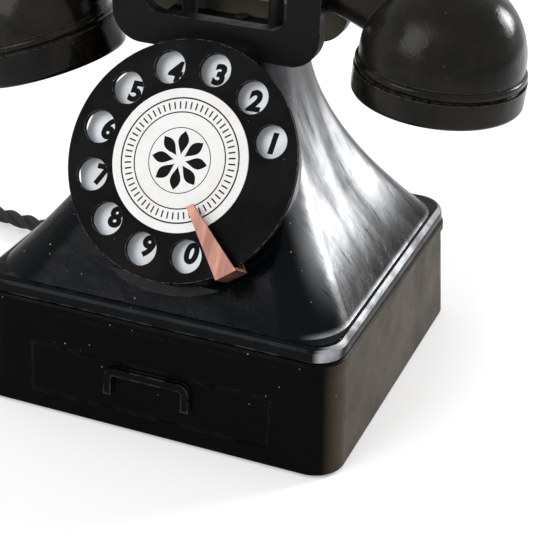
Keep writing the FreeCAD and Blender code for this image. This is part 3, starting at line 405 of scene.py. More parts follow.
@dataclass(frozen=True)
class WornPaint(Finish):
    """Black paint on metal: worn through to the metal on its right flank and rim, partly from wear and partly
    as a painted reflection and highlight of the light from the right; dusty on its sides, worn at its edges.

    flank, rear, rim_rise, rim_fall and dust_turn are spans of the direction that the surface faces.
    rub_and_reflection_rise, rub_and_reflection_fall, rim_top and chip_fall are heights in metres.
    """

    dust: Colour = (0.085, 0.066, 0.048, 1.0)
    # Metal colour for chipped edges, and for the right flank and rim, where it is partly a painted reflection
    # and highlight.
    metal: Colour = (0.46, 0.47, 0.49, 1.0)
    speck: Colour = (0.75, 0.70, 0.60, 1.0)
    rub_and_reflection_share: float = 0.0
    rim_share: float = 0.0
    dust_share: float = 0.1
    edge_share: float = 0.1
    speck_share: float = 0.6
    bump_strength: float = 0.2
    skin_depth: float = 0.003
    flank: Span = (0.35, 0.75)
    rear: Span = (0.02, 0.3)
    rub_and_reflection_rise: Span = (0.056, 0.08)
    rub_and_reflection_fall: Span = (0.1, 0.13)
    rub_and_reflection_top: float = 0.3
    streak_least: float = 0.3
    scratch_share: float = 0.4
    rim_rise: Span = (0.2, 0.5)
    rim_fall: Span = (0.85, 0.97)
    rim_top: Span = (0.0535, 0.0555)
    rim_least: float = 0.35
    chip_fall: Span = (0.046, 0.056)
    chip_least: float = 0.15
    dust_turn: Span = (0.5, 0.95)
    dust_least: float = 0.45
    gloss_change: Span = (-0.05, 0.1)
    bare_rough: float = 0.25
    STREAKS: ClassVar[Pattern] = {"Across": 60.0, "Along": 14.0, "Level": 0.46, "Softness": 0.26}
    SCRATCHES: ClassVar[Pattern] = {"Across": 700.0, "Along": 60.0, "Level": 0.66, "Softness": 0.03}
    RIM_BREAKS: ClassVar[Pattern] = {"Scale": 60.0, "Level": 0.42, "Softness": 0.2}
    CHIPS: ClassVar[Pattern] = {"Radius": 0.0014, "Gain": 3.0, "Scale": 160.0}
    CLOUDS: ClassVar[Pattern] = {"Scale": 22.0, "Level": 0.5, "Softness": 0.3}
    SPECKS: ClassVar[Pattern] = {"Scale": 300.0, "Size": 0.06, "Share": 0.4}
    UNEVEN: ClassVar[Pattern] = {"Scale": 75.0, "Level": 0.5, "Softness": 0.3}
    SKIN: ClassVar[Pattern] = {"Broad": 55.0, "Fine": 700.0, "Share": 0.1}

    def rubbed_flank_and_painted_reflection(self, tree: Tree, effects: Effects) -> Socket:
        """Mask of the right flank worn through to the metal, partly wear and partly a painted reflection of
        the light from the right: streaked, scratched, and weaker at its top and rear.

        Args:
            tree: The material's tree.
            effects: The shared shader groups.

        Returns:
            How much metal shows there, as wear and as painted reflection.
        """
        right, rear, _ = tree.axes(Coordinate.FACING)
        z = tree.axes(Coordinate.PLACE)[2]
        # Only the right-facing flank, where the light from the right reflects: this part of the mask paints
        # that reflection as metal.
        side = tree.times(tree.ramp(right, *self.flank), tree.ramp(rear, *self.rear, 1.0, 0.0))
        level = tree.times(tree.ramp(z, *self.rub_and_reflection_rise), tree.ramp(z, *self.rub_and_reflection_fall, 1.0, self.rub_and_reflection_top))
        flank = tree.times(side, level)
        streak = self.effect(tree, effects.streaks, self.STREAKS)
        flank = tree.times(flank, tree.ramp(streak, 0.0, 1.0, self.streak_least, 1.0))
        scratch = self.effect(tree, effects.streaks, self.SCRATCHES)
        flank = tree.math("SUBTRACT", flank, tree.times(scratch, self.scratch_share), clamp=True)
        return tree.times(flank, self.rub_and_reflection_share)

    def rubbed_rim_and_painted_highlight(self, tree: Tree, effects: Effects) -> Socket:
        """Mask of the rolled rim's right side, showing metal in broken stretches: partly wear and partly a
        painted highlight.

        Args:
            tree: The material's tree.
            effects: The shared shader groups.

        Returns:
            How much metal shows there, as wear and as painted highlight.
        """
        right = tree.axes(Coordinate.FACING)[0]
        z = tree.axes(Coordinate.PLACE)[2]
        # Only the right side of the rim, where the light from the right makes a highlight.
        rolled = tree.times(tree.ramp(right, *self.rim_rise), tree.ramp(right, *self.rim_fall, 1.0, 0.0))
        rolled = tree.times(rolled, tree.ramp(z, *self.rim_top, 1.0, 0.0))
        broken = self.effect(tree, effects.patches, self.RIM_BREAKS)
        rolled = tree.times(rolled, tree.ramp(broken, 0.0, 1.0, self.rim_least, 1.0))
        return tree.times(rolled, self.rim_share)

    def chipped(self, tree: Tree, effects: Effects) -> Socket:
        """Mask of the chipped edges, fewer above the rim.

        Args:
            tree: The material's tree.
            effects: The shared shader groups.

        Returns:
            How much metal shows there.
        """
        z = tree.axes(Coordinate.PLACE)[2]
        edge = self.effect(tree, effects.edge_wear, self.CHIPS)
        edge = tree.times(edge, tree.ramp(z, *self.chip_fall, 1.0, self.chip_least))
        return tree.times(edge, self.edge_share)

    def dusty(self, tree: Tree, effects: Effects) -> Socket:
        """Mask of the dust in clouds on the left and right sides.

        Args:
            tree: The material's tree.
            effects: The shared shader groups.

        Returns:
            How thick the dust is.
        """
        sideways = tree.math("ABSOLUTE", tree.axes(Coordinate.FACING)[0])
        clouds = self.effect(tree, effects.patches, self.CLOUDS)
        cloudy = tree.ramp(clouds, 0.0, 1.0, self.dust_least, 1.0)
        dust = tree.times(cloudy, tree.ramp(sideways, *self.dust_turn))
        return tree.times(dust, self.dust_share)

    def paint(self, tree: Tree, shader: bpy.types.Node, effects: Effects) -> None:
        """Black paint with places worn through to the metal (on the right flank and rim partly a painted
        reflection and highlight), dust, worn edges, specks and a wavy skin.

        Args:
            tree: The material's tree.
            shader: Its Principled shader.
            effects: The shared shader groups.
        """
        # Metal on the right flank and rim: partly wear, partly a painted reflection and highlight of the
        # light from the right.
        rubbed_and_painted_sheen = tree.math("MAXIMUM", self.rubbed_flank_and_painted_reflection(tree, effects), self.rubbed_rim_and_painted_highlight(tree, effects))
        bare_and_painted_sheen = tree.math("MAXIMUM", rubbed_and_painted_sheen, self.chipped(tree, effects))
        specks = self.effect(tree, effects.specks, self.SPECKS)
        colour = tree.mix(self.dusty(tree, effects), self.colour, self.dust)
        colour = tree.mix(tree.times(specks, self.speck_share), colour, self.speck)
        # The metal colour shows at chipped edges and at the painted reflection and highlight on the right.
        colour = tree.mix(bare_and_painted_sheen, colour, self.metal)
        rough = self.gloss(tree, self.effect(tree, effects.patches, self.UNEVEN), self.gloss_change)
        rough = tree.math("ADD", rough, tree.times(bare_and_painted_sheen, self.bare_rough))
        skin = self.effect(tree, effects.lumps, self.SKIN)
        self.join(tree, shader, Base_Color=colour, Roughness=rough, Metallic=bare_and_painted_sheen)
        self.bump(tree, shader, skin, self.bump_strength, self.skin_depth)


@dataclass(frozen=True)
class Moulded(Finish):
    """Moulded black material with dull patches, paler edges and a paler layer on a wall that faces ahead,
    partly dust and partly painted light that lifts the shade there.
    """

    haze: Colour = (0.05, 0.045, 0.035, 1.0)
    pale: Colour = (0.2, 0.19, 0.17, 1.0)
    # Paler colour for walls that face ahead behind the middle: partly dust, partly painted light in place of
    # the shade there.
    dust_and_painted_light: Colour = (0.13, 0.115, 0.085, 1.0)
    speck: Colour = grey(0.3)
    haze_share: float = 0.25
    edge_share: float = 0.5
    dust_and_painted_light_share: float = 0.0
    speck_share: float = 0.5
    edge_radius: float = 0.0008
    broad: float = 60.0
    bump_strength: float = 0.2
    skin_depth: float = 0.003
    film_start: Span = (0.012, 0.016)
    film_turn: Span = (-0.9, -0.5)
    gloss_change: Span = (-0.06, 0.14)
    HAZE: ClassVar[Pattern] = {"Scale": 45.0, "Level": 0.52, "Softness": 0.2}
    WEAR: ClassVar[Pattern] = {"Gain": 3.0, "Scale": 500.0}
    SPECKS: ClassVar[Pattern] = {"Scale": 330.0, "Size": 0.04, "Share": 0.3}
    SKIN: ClassVar[Pattern] = {"Fine": 900.0, "Share": 0.15}

    def dust_and_painted_light_mask(self, tree: Tree) -> Socket:
        """Mask of the paler layer on walls that face ahead, from a distance behind the middle on: partly
        dust, partly painted light in the shade there.

        Args:
            tree: The material's tree.

        Returns:
            How strong the paler layer is.
        """
        ahead = tree.ramp(tree.axes(Coordinate.FACING)[1], *self.film_turn, 1.0, 0.0)
        behind = tree.ramp(tree.axes(Coordinate.PLACE)[1], *self.film_start, 0.0, self.dust_and_painted_light_share)
        return tree.times(ahead, behind)

    def paint(self, tree: Tree, shader: bpy.types.Node, effects: Effects) -> None:
        """Dark body, hazy patches, a paler layer that is partly dust and partly painted light, pale worn
        edges, specks and an uneven skin.

        Args:
            tree: The material's tree.
            shader: Its Principled shader.
            effects: The shared shader groups.
        """
        haze = self.effect(tree, effects.patches, self.HAZE)
        edge = self.effect(tree, effects.edge_wear, {"Radius": self.edge_radius, **self.WEAR})
        specks = self.effect(tree, effects.specks, self.SPECKS)
        colour = tree.mix(tree.times(haze, self.haze_share), self.colour, self.haze)
        # Painted light, partly dust: lifts the shaded wall that faces ahead.
        colour = tree.mix(self.dust_and_painted_light_mask(tree), colour, self.dust_and_painted_light)
        colour = tree.mix(tree.times(edge, self.edge_share), colour, self.pale)
        colour = tree.mix(tree.times(specks, self.speck_share), colour, self.speck)
        rough = self.gloss(tree, haze, self.gloss_change)
        skin = self.effect(tree, effects.lumps, {"Broad": self.broad, **self.SKIN})
        self.join(tree, shader, Base_Color=colour, Roughness=rough)
        self.bump(tree, shader, skin, self.bump_strength, self.skin_depth)


@dataclass(frozen=True)
class BareMetal(Finish):
    """Bare metal with tarnished patches and drawn lines."""

    tarnish: Colour = grey(0.15)
    tarnish_share: float = 0.4
    line_scale: Place = (900.0, 40.0, 40.0)
    line_detail: float = 3.0
    line_range: Span = (0.3, 0.7)
    line_strength: float = 0.08
    line_depth: float = 0.001
    gloss_change: Span = (-0.08, 0.12)
    DULL: ClassVar[Pattern] = {"Scale": 120.0, "Level": 0.5, "Softness": 0.2}

    def paint(self, tree: Tree, shader: bpy.types.Node, effects: Effects) -> None:
        """Metal colour darkened in patches, with roughness and bump from drawn lines.

        Args:
            tree: The material's tree.
            shader: Its Principled shader.
            effects: The shared shader groups.
        """
        dull = self.effect(tree, effects.patches, self.DULL)
        lines = tree.noise(self.drawn(tree, self.line_scale), 1.0, self.line_detail)
        colour = tree.mix(tree.times(dull, self.tarnish_share), self.colour, self.tarnish)
        low, high = (self.roughness + change for change in self.gloss_change)
        rough = tree.ramp(lines, *self.line_range, low, high)
        shader.inputs["Metallic"].default_value = 1.0
        self.join(tree, shader, Base_Color=colour, Roughness=rough)
        self.bump(tree, shader, lines, self.line_strength, self.line_depth)


@dataclass(frozen=True)
class Plain(Finish):
    """Enamel, card, rubber or resin: a body colour with faint stains, specks and grain."""

    stain: Colour = grey(0.3)
    stain_share: float = 0.2
    stain_scale: float = 90.0
    speck_share: float = 0.0
    speck: Colour = grey(0.02)
    grain_strength: float = 0.1
    grain_depth: float = 0.0008
    gloss_change: Span = (0.0, 0.12)
    STAIN: ClassVar[Pattern] = {"Level": 0.52, "Softness": 0.2}
    SPECKS: ClassVar[Pattern] = {"Scale": 420.0, "Size": 0.05, "Share": 0.36}
    GRAIN: ClassVar[Pattern] = {"Broad": 200.0, "Fine": 1200.0, "Share": 0.5}

    def paint(self, tree: Tree, shader: bpy.types.Node, effects: Effects) -> None:
        """Body colour with stains and dark specks, and a fine grain in the skin.

        Args:
            tree: The material's tree.
            shader: Its Principled shader.
            effects: The shared shader groups.
        """
        stain = self.effect(tree, effects.patches, {"Scale": self.stain_scale, **self.STAIN})
        colour = tree.mix(tree.times(stain, self.stain_share), self.colour, self.stain)
        specks = self.effect(tree, effects.specks, self.SPECKS)
        colour = tree.mix(tree.times(specks, self.speck_share), colour, self.speck)
        rough = self.gloss(tree, stain, self.gloss_change)
        skin = self.effect(tree, effects.lumps, self.GRAIN)
        self.join(tree, shader, Base_Color=colour, Roughness=rough)
        self.bump(tree, shader, skin, self.grain_strength, self.grain_depth)


@dataclass(frozen=True)
class Cotton(Finish):
    """Braided cotton: crossed threads on the strands' own map, with fluff."""

    thread: Colour = (0.03, 0.029, 0.026, 1.0)
    threads_along: float = 1.0
    threads_round: float = 1.0
    fluff_least: float = 0.5
    fluff_rough: float = 0.95
    weave_strength: float = 0.5
    weave_depth: float = 0.0006
    FLUFF: ClassVar[Pattern] = {"Scale": 700.0, "Level": 0.5, "Softness": 0.25}

    def paint(self, tree: Tree, shader: bpy.types.Node, effects: Effects) -> None:
        """Two crossed sets of ribs on the map, raised and slightly paler on top.

        Args:
            tree: The material's tree.
            shader: Its Principled shader.
            effects: The shared shader groups.
        """
        place = tree.node("ShaderNodeUVMap").outputs[0]
        parts = tree.node("ShaderNodeSeparateXYZ", {0: place})
        along = tree.times(parts.outputs[0], self.threads_along)
        across = tree.times(parts.outputs[1], self.threads_round)
        left = tree.math("SINE", tree.math("ADD", along, across))
        right = tree.math("SINE", tree.math("SUBTRACT", along, across))
        weave = tree.ramp(tree.times(left, right), -1.0, 1.0)
        fluff = self.effect(tree, effects.patches, self.FLUFF)
        top = tree.times(weave, tree.ramp(fluff, 0.0, 1.0, self.fluff_least, 1.0))
        colour = tree.mix(top, self.colour, self.thread)
        rough = tree.ramp(fluff, 0.0, 1.0, self.roughness, self.fluff_rough)
        self.join(tree, shader, Base_Color=colour, Roughness=rough)
        self.bump(tree, shader, weave, self.weave_strength, self.weave_depth)


@dataclass(frozen=True)
class Wood(Finish):
    """Plain wood: long bands of grain across the tray."""

    late: Colour = (0.10, 0.05, 0.02, 1.0)
    band_scale: Place = (18.0, 180.0, 180.0)
    band_detail: float = 5.0
    band_range: Span = (0.35, 0.65)
    band_strength: float = 0.15
    band_depth: float = 0.0006
    stain_share: float = 0.3
    gloss_change: Span = (0.0, 0.15)
    STAIN: ClassVar[Pattern] = {"Scale": 35.0, "Level": 0.5, "Softness": 0.25}

    def paint(self, tree: Tree, shader: bpy.types.Node, effects: Effects) -> None:
        """Stretched noise gives the bands, and the same bands give a slight relief.

        Args:
            tree: The material's tree.
            shader: Its Principled shader.
            effects: The shared shader groups.
        """
        noise = tree.noise(self.drawn(tree, self.band_scale), 1.0, self.band_detail)
        bands = tree.ramp(noise, *self.band_range)
        stain = self.effect(tree, effects.patches, self.STAIN)
        colour = tree.mix(bands, self.colour, self.late)
        colour = tree.mix(tree.times(stain, self.stain_share), colour, self.late)
        rough = self.gloss(tree, bands, self.gloss_change)
        self.join(tree, shader, Base_Color=colour, Roughness=rough)
        self.bump(tree, shader, bands, self.band_strength, self.band_depth)


FINISHES: tuple[Finish, ...] = (
    # The housing's right flank and rim show metal partly from wear and partly as a painted reflection and
    # highlight.
    WornPaint(Slot.CASE_PAINT, (0.002, 0.0026, 0.0032, 1.0), 0.2, 0.06, rub_and_reflection_share=0.85, rim_share=0.8,
              edge_share=0.6),
    Moulded(Slot.HANDSET_RESIN, (0.002, 0.002, 0.0015, 1.0), 0.15, 0.14),
    Moulded(Slot.MATTE_BLACK, grey(0.002), 0.45, 0.04, haze=grey(0.004), pale=grey(0.4),
            edge_share=0.5, edge_radius=0.0005, broad=120.0, bump_strength=0.1),
    Plain(Slot.ENAMEL, (0.84, 0.91, 0.97, 1.0), 0.3, stain=(0.55, 0.53, 0.50, 1.0), stain_share=0.5,
          stain_scale=60.0, speck_share=0.7),
    Plain(Slot.CARD, (0.87, 0.87, 0.86, 1.0), 0.55, stain=(0.72, 0.70, 0.64, 1.0), stain_share=0.2),
    BareMetal(Slot.COPPER, (0.30, 0.155, 0.12, 1.0), 0.5, tarnish=(0.20, 0.10, 0.08, 1.0),
              line_scale=(260.0, 40.0, 40.0)),
    BareMetal(Slot.STEEL, grey(0.55), 0.35),
    BareMetal(Slot.BRASS, (0.70, 0.48, 0.18, 1.0), 0.3, tarnish=(0.30, 0.20, 0.08, 1.0)),
    Plain(Slot.RUBBER, grey(0.012), 0.65, stain=grey(0.03)),
    BareMetal(Slot.COPPER_WIRE, (0.55, 0.22, 0.10, 1.0), 0.4, tarnish=(0.25, 0.09, 0.04, 1.0),
              line_scale=(60.0, 2200.0, 60.0)),
    Plain(Slot.INSULATOR, (0.10, 0.04, 0.018, 1.0), 0.4, stain=(0.05, 0.02, 0.01, 1.0)),
    Cotton(Slot.CORD_COTTON, grey(0.006), 0.75, threads_along=2600.0, threads_round=50.0),
    Wood(Slot.DRAWER_WOOD, (0.22, 0.12, 0.055, 1.0), 0.45),
)
CASE_BLACK = WornPaint(Slot.CASE_PAINT, grey(0.0012), 0.3, 0.035, "lower_case_finish", dust_share=0.9,
                       speck_share=0.4, edge_share=0.03, bump_strength=0.12)
PULL_BLACK = WornPaint(Slot.CASE_PAINT, grey(0.0012), 0.3, 0.05, "pull_finish", dust_share=0.1,
                       speck_share=0.3, edge_share=0.14, bump_strength=0.1)
# The cradle's rear inner wall is made paler: painted light in its shade, partly dust.
CRADLE_BLACK = Moulded(Slot.MATTE_BLACK, grey(0.003), 0.4, 0.1, "cradle_finish", haze=grey(0.008),
                       pale=grey(0.25), edge_share=0.4, edge_radius=0.0006, dust_and_painted_light_share=0.8)
DARK_STEEL = Plain(Slot.STEEL, grey(0.01), 0.45, 0.2, "dark_steel_finish", stain=grey(0.02))
PRINTING_INK = Plain(Slot.MATTE_BLACK, grey(0.003), 0.5, 0.05, "printing_ink", stain=grey(0.012),
                     stain_share=0.5)
OWN_FINISHES: Mapping[str, Finish] = {
    "lower_case": CASE_BLACK,
    "drawer_front": CASE_BLACK,
    "drawer_pull": PULL_BLACK,
    "cradle": CRADLE_BLACK,
    "hook_yoke": DARK_STEEL,
    "cradle_screws": DARK_STEEL,
}


class Surfaces:
    """Turns arrays of points into meshes and pieces."""

    @staticmethod
    def grid_faces(rows: int, columns: int, closed: bool) -> np.ndarray:
        """Corner numbers of a grid's four-sided faces.

        Args:
            rows: Points along the first parameter.
            columns: Points along the second parameter.
            closed: Whether the last column meets the first.

        Returns:
            An array with one row of four corners for each face.
        """
        across = columns if closed else columns - 1
        row, column = np.meshgrid(np.arange(rows - 1), np.arange(across), indexing="ij")
        after = (column + 1) % columns
        corners = (row * columns + column, row * columns + after, (row + 1) * columns + after,
                   (row + 1) * columns + column)
        return np.stack(corners, axis=-1).reshape(-1, 4)

    @staticmethod
    def piece(
        name: str, points: np.ndarray, faces: Sequence[Sequence[int]], smooth: bool
    ) -> bpy.types.Object:
        """Makes an object at the origin from points and faces.

        Args:
            name: The piece's name.
            points: Points as rows of three numbers.
            faces: Corner numbers of each face.
            smooth: Whether the faces are shaded smooth.

        Returns:
            The new object, linked to the scene.
        """
        mesh = bpy.data.meshes.new(name)
        mesh.from_pydata(points.reshape(-1, 3), [], faces)
        mesh.polygons.foreach_set("use_smooth", np.full(len(mesh.polygons), smooth))
        mesh.update()
        made = bpy.data.objects.new(name, mesh)
        bpy.context.scene.collection.objects.link(made)
        return made


@dataclass
class Dial:
    """What is printed on the dial: the digits on its plate and the rings on its card."""

    centre: Place = (0.0, -0.043, 0.1043)
    tilt: float = math.radians(31.0)
    hole_pitch: float = 0.036
    first_angle: float = math.radians(21.4)
    step_angle: float = math.radians(29.5)
    digits: str = "1234567890"
    digit_inset: float = 0.0012
    digit_size: float = 0.0104
    digit_weight: float = 0.00055
    digit_flatness: float = 0.05
    digit_slant: float = 0.12
    plate_level: float = -0.005
    card_level: float = 0.0006
    ink: float = 0.00004
    rings: tuple[Span, ...] = ((0.02325, 0.0238), (0.0180, 0.01845), (0.0122, 0.0125))
    tick_count: int = 60
    tick_span: Span = (0.0195, 0.0222)
    tick_width: float = 0.00055
    petal_count: int = 8
    petal_span: Span = (0.0022, 0.0112)
    petal_width: float = 0.0042
    petal_steps: int = 15
    petal_bias: float = 1.3
    round_steps: int = 180

    @property
    def frame(self) -> Matrix:
        """The dial's own axes: X to the right, Y up the face, Z out of it.

        Returns:
            The turn and place of those axes.
        """
        up = Vector((0.0, math.sin(self.tilt), math.cos(self.tilt)))
        out = Vector((0.0, -math.cos(self.tilt), math.sin(self.tilt)))
        turn = Matrix((Vector((1.0, 0.0, 0.0)), up, out)).transposed().to_4x4()
        return Matrix.Translation(self.centre) @ turn

    def digit_mesh(self, digit: str) -> bpy.types.Mesh:
        """Makes one flat digit in the dial's own axes, at its hole.

        Args:
            digit: The character to draw.

        Returns:
            The digit's mesh.
        """
        text = bpy.data.curves.new(f"digit_{digit}", "FONT")
        text.body = digit
        text.size = self.digit_size
        text.bevel_depth = self.digit_weight
        text.bevel_resolution = 0
        text.shear = self.digit_slant
        text.align_x = "CENTER"
        text.align_y = "CENTER"
        holder = bpy.data.objects.new(text.name, text)
        bpy.context.scene.collection.objects.link(holder)
        bpy.context.view_layer.update()
        mesh = bpy.data.meshes.new_from_object(holder)
        bpy.data.objects.remove(holder)
        angle = self.first_angle + self.digits.index(digit) * self.step_angle
        reach = self.hole_pitch - self.digit_inset
        place = Vector((reach * math.cos(angle), reach * math.sin(angle), self.plate_level + self.ink))
        flat = Matrix.Diagonal((1.0, 1.0, self.digit_flatness, 1.0))
        mesh.transform(self.frame @ Matrix.Translation(place) @ flat)
        return mesh

    def build_digits(self) -> bpy.types.Object:
        """Makes the ten digits as one piece of flat ink on the number plate.

        Returns:
            The digits.
        """
        points: list[np.ndarray] = []
        faces: list[list[int]] = []
        count = 0
        for mesh in map(self.digit_mesh, self.digits):
            flat = np.empty(len(mesh.vertices) * 3)
            mesh.vertices.foreach_get("co", flat)
            points.append(flat.reshape(-1, 3))
            faces += [[count + corner for corner in face.vertices] for face in mesh.polygons]
            count += len(mesh.vertices)
        return Surfaces.piece("dial_digits", np.concatenate(points), faces, False)

    def ring_points(self, inner: float, outer: float) -> np.ndarray:
        """A flat ring: two circles about the dial's axis, as a grid of angle and radius.

        Args:
            inner: Radius of the inner circle.
            outer: Radius of the outer circle.

        Returns:
            An array of two circles, steps round, and three coordinates.
        """
        angle = np.linspace(0.0, 2.0 * np.pi, self.round_steps, endpoint=False)
        radius = np.array([inner, outer])
        return np.stack((np.outer(radius, np.cos(angle)), np.outer(radius, np.sin(angle)),
                         np.zeros((2, self.round_steps))), axis=-1)

    def spoke_points(self, count: int, span: Span, width: float, rounded: bool) -> np.ndarray:
        """Spokes about the axis: each is a strip whose half width follows a sine where rounded.

        Args:
            count: Number of spokes.
            span: Inner and outer radius.
            width: Full width at the widest.
            rounded: Whether the strip narrows to a point at both ends.

        Returns:
            An array of spokes, steps along, two sides, and three coordinates.
        """
        share = np.linspace(0.0, 1.0, self.petal_steps if rounded else 2)
        radius = span[0] + share * (span[1] - span[0])
        swell = np.sin(np.pi * share ** self.petal_bias) if rounded else np.ones_like(share)
        half = 0.5 * width * swell
        angle = np.arange(count)[:, None, None] * 2.0 * np.pi / count
        side = np.array([1.0, -1.0])[None, None, :] * half[None, :, None]
        reach = np.broadcast_to(radius[None, :, None], (count, len(share), 2))
        x = reach * np.cos(angle) - side * np.sin(angle)
        y = reach * np.sin(angle) + side * np.cos(angle)
        return np.stack((x, y, np.zeros_like(x)), axis=-1)

    def build_card_print(self) -> bpy.types.Object:
        """Makes the card's print: rings, a scale of ticks and a plain rosette, as flat ink.

        Returns:
            The print.
        """
        blocks: list[np.ndarray] = []
        faces: list[np.ndarray] = []
        count = 0
        for inner, outer in self.rings:
            ring = self.ring_points(inner, outer)
            faces.append(Surfaces.grid_faces(2, self.round_steps, True)[:, ::-1] + count)
            blocks.append(ring.reshape(-1, 3))
            count += len(blocks[-1])
        for spokes in (self.spoke_points(self.tick_count, self.tick_span, self.tick_width, False),
                       self.spoke_points(self.petal_count, self.petal_span, self.petal_width, True)):
            steps = spokes.shape[1]
            one = Surfaces.grid_faces(steps, 2, False)
            offsets = np.arange(spokes.shape[0])[:, None, None] * steps * 2
            faces.append((one[None] + offsets).reshape(-1, 4)[:, ::-1] + count)
            blocks.append(spokes.reshape(-1, 3))
            count += len(blocks[-1])
        points = np.concatenate(blocks)
        points[:, 2] = self.card_level + self.ink
        turn = np.array(self.frame)
        points = points @ turn[:3, :3].T + turn[:3, 3]
        return Surfaces.piece("card_print", points, np.concatenate(faces).tolist(), False)


@dataclass
class HandsetCord:
    """The twisted cord from the case to the handset."""

    diameter: float = 0.0075
    length: float = 0.599
    strands: int = 3
    pitch: float = 0.0295
    around: int = 48
    step: float = 0.0008
    strand_swell: float = 1.04
    sway: Span = (0.35, 61.0)
    lump: Span = (0.03, 173.0)
    curve_steps: int = 32
    curve_order: int = 3
    path_stride: int = 4
    blend_start: Place = (-0.19, 0.0, 0.012)
    blend_end: Place = (-0.19, 0.0, 0.132)
    route: tuple[Place, ...] = (
        (-0.07804, 0.054, 0.010),
        (-0.09204, 0.054, 0.010),
        (-0.118, 0.056, 0.0046),
        (-0.152, 0.062, 0.004),
        (-0.200, 0.069, 0.004),
        (-0.248, 0.066, 0.004),
        (-0.288, 0.044, 0.004),
        (-0.308, 0.006, 0.004),
        (-0.303, -0.036, 0.004),
        (-0.275, -0.066, 0.004),
        (-0.237, -0.074, 0.004),
        (-0.203, -0.060, 0.007),
        (-0.182, -0.038, 0.027),
        (-0.172, -0.020, 0.056),
        (-0.167, -0.007, 0.090),
        (-0.162, 0.0, 0.113),
        (-0.152, 0.0035, 0.131),
        (-0.13137, 0.005, 0.13957),
        (-0.11937, 0.005, 0.13957),
    )

    def path(self) -> np.ndarray:
        """Points read from a smooth curve whose control points are the route.

        Returns:
            Points along the curve as rows of three numbers.
        """
        curve = bpy.data.curves.new("cord_route", "CURVE")
        curve.dimensions = "3D"
        curve.resolution_u = self.curve_steps
        spline = curve.splines.new("NURBS")
        spline.points.add(len(self.route) - 1)
        spline.points.foreach_set("co", np.column_stack((self.route, np.ones(len(self.route)))).ravel())
        spline.order_u = self.curve_order
        spline.use_endpoint_u = True
        holder = bpy.data.objects.new("cord_route", curve)
        bpy.context.scene.collection.objects.link(holder)
        bpy.context.view_layer.update()
        mesh = bpy.data.meshes.new_from_object(holder)
        flat = np.empty(len(mesh.vertices) * 3)
        mesh.vertices.foreach_get("co", flat)
        bpy.data.objects.remove(holder)
        return flat.reshape(-1, 3)

    def even(self, path: np.ndarray) -> tuple[np.ndarray, np.ndarray]:
        """Spaces the path's points evenly.

        Args:
            path: Points along the curve.

        Returns:
            Evenly spaced points and each one's distance along the path.
        """
        travel = np.concatenate(([0.0], np.cumsum(np.linalg.norm(np.diff(path, axis=0), axis=1))))
        along = np.linspace(0.0, travel[-1], int(travel[-1] / self.step))
        spaced = np.stack([np.interp(along, travel, path[:, axis]) for axis in range(3)], axis=1)
        return spaced, along

    @staticmethod
    def steady_frame(points: np.ndarray) -> tuple[np.ndarray, np.ndarray]:
        """Two directions across the path that don't twist round it.

        Each point's upright direction is turned back by the twist summed up to there.

        Args:
            points: Evenly spaced points.

        Returns:
            The two directions at each point.
        """
        ahead = np.gradient(points, axis=0)
        ahead /= np.linalg.norm(ahead, axis=1, keepdims=True)
        up = np.array([0.0, 0.0, 1.0]) - ahead[:, 2:3] * ahead
        up /= np.linalg.norm(up, axis=1, keepdims=True)
        side = np.cross(ahead, up)
        axis = np.cross(ahead[:-1], ahead[1:])
        cosine = np.sum(ahead[:-1] * ahead[1:], axis=1, keepdims=True)
        turned = np.cross(axis, up[:-1])
        kept = np.sum(axis * up[:-1], axis=1, keepdims=True)
        carried = up[:-1] * cosine + turned + axis * kept / (1.0 + cosine)
        twist = np.arctan2(np.sum(carried * side[1:], axis=1), np.sum(carried * up[1:], axis=1))
        angle = np.concatenate(([0.0], np.cumsum(twist)))[:, None]
        first = up * np.cos(angle) + side * np.sin(angle)
        second = side * np.cos(angle) - up * np.sin(angle)
        return first, second

    def outline(self, along: np.ndarray) -> tuple[np.ndarray, np.ndarray]:
        """Outline of strands that touch each other and turn as they go along.

        The radius at an angle is that of the nearest strand's circle, seen from the middle. The turn sways
        and the radius dips a little along the way, each by a share and a rate per metre.

        Args:
            along: Distance of each point along the path.

        Returns:
            Angle and radius for each point and each step round it.
        """
        whole = 0.5 * self.diameter
        spread = 1.0 / np.sin(np.pi / self.strands)
        strand = whole / (1.0 + spread) * self.strand_swell
        centre = whole - strand
        around = np.linspace(0.0, 2.0 * np.pi, self.around, endpoint=False)[None, :]
        turn = (2.0 * np.pi * along / self.pitch + self.sway[0] * np.sin(along * self.sway[1]))[:, None]
        sector = 2.0 * np.pi / self.strands
        nearest = (around + 0.5 * sector) % sector - 0.5 * sector
        inside = np.clip(strand ** 2 - (centre * np.sin(nearest)) ** 2, 0.0, None)
        radius = centre * np.cos(nearest) + np.sqrt(inside)
        lumps = 1.0 + self.lump[0] * np.sin(along * self.lump[1])[:, None]
        return around + turn, np.broadcast_to(radius, (len(along), self.around)) * np.minimum(lumps, 1.0)

    def build(self) -> tuple[bpy.types.Object, np.ndarray]:
        """Makes the twisted strands as one closed tube with its own map.

        Returns:
            The cord and the points that it follows.
        """
        points, along = self.even(self.path())
        first, second = self.steady_frame(points)
        angle, radius = self.outline(along)
        sideways = np.cos(angle)[..., None] * first[:, None, :]
        offset = sideways + np.sin(angle)[..., None] * second[:, None, :]
        skin = points[:, None, :] + radius[..., None] * offset
        faces = Surfaces.grid_faces(len(points), self.around, True)[:, ::-1].tolist()
        last = (len(points) - 1) * self.around
        faces.append(list(range(self.around)))
        faces.append(list(range(last + self.around - 1, last - 1, -1)))
        cord = Surfaces.piece("handset_cord_strands", skin, faces, True)
        self.lay_map(cord.data, along)
        return cord, points

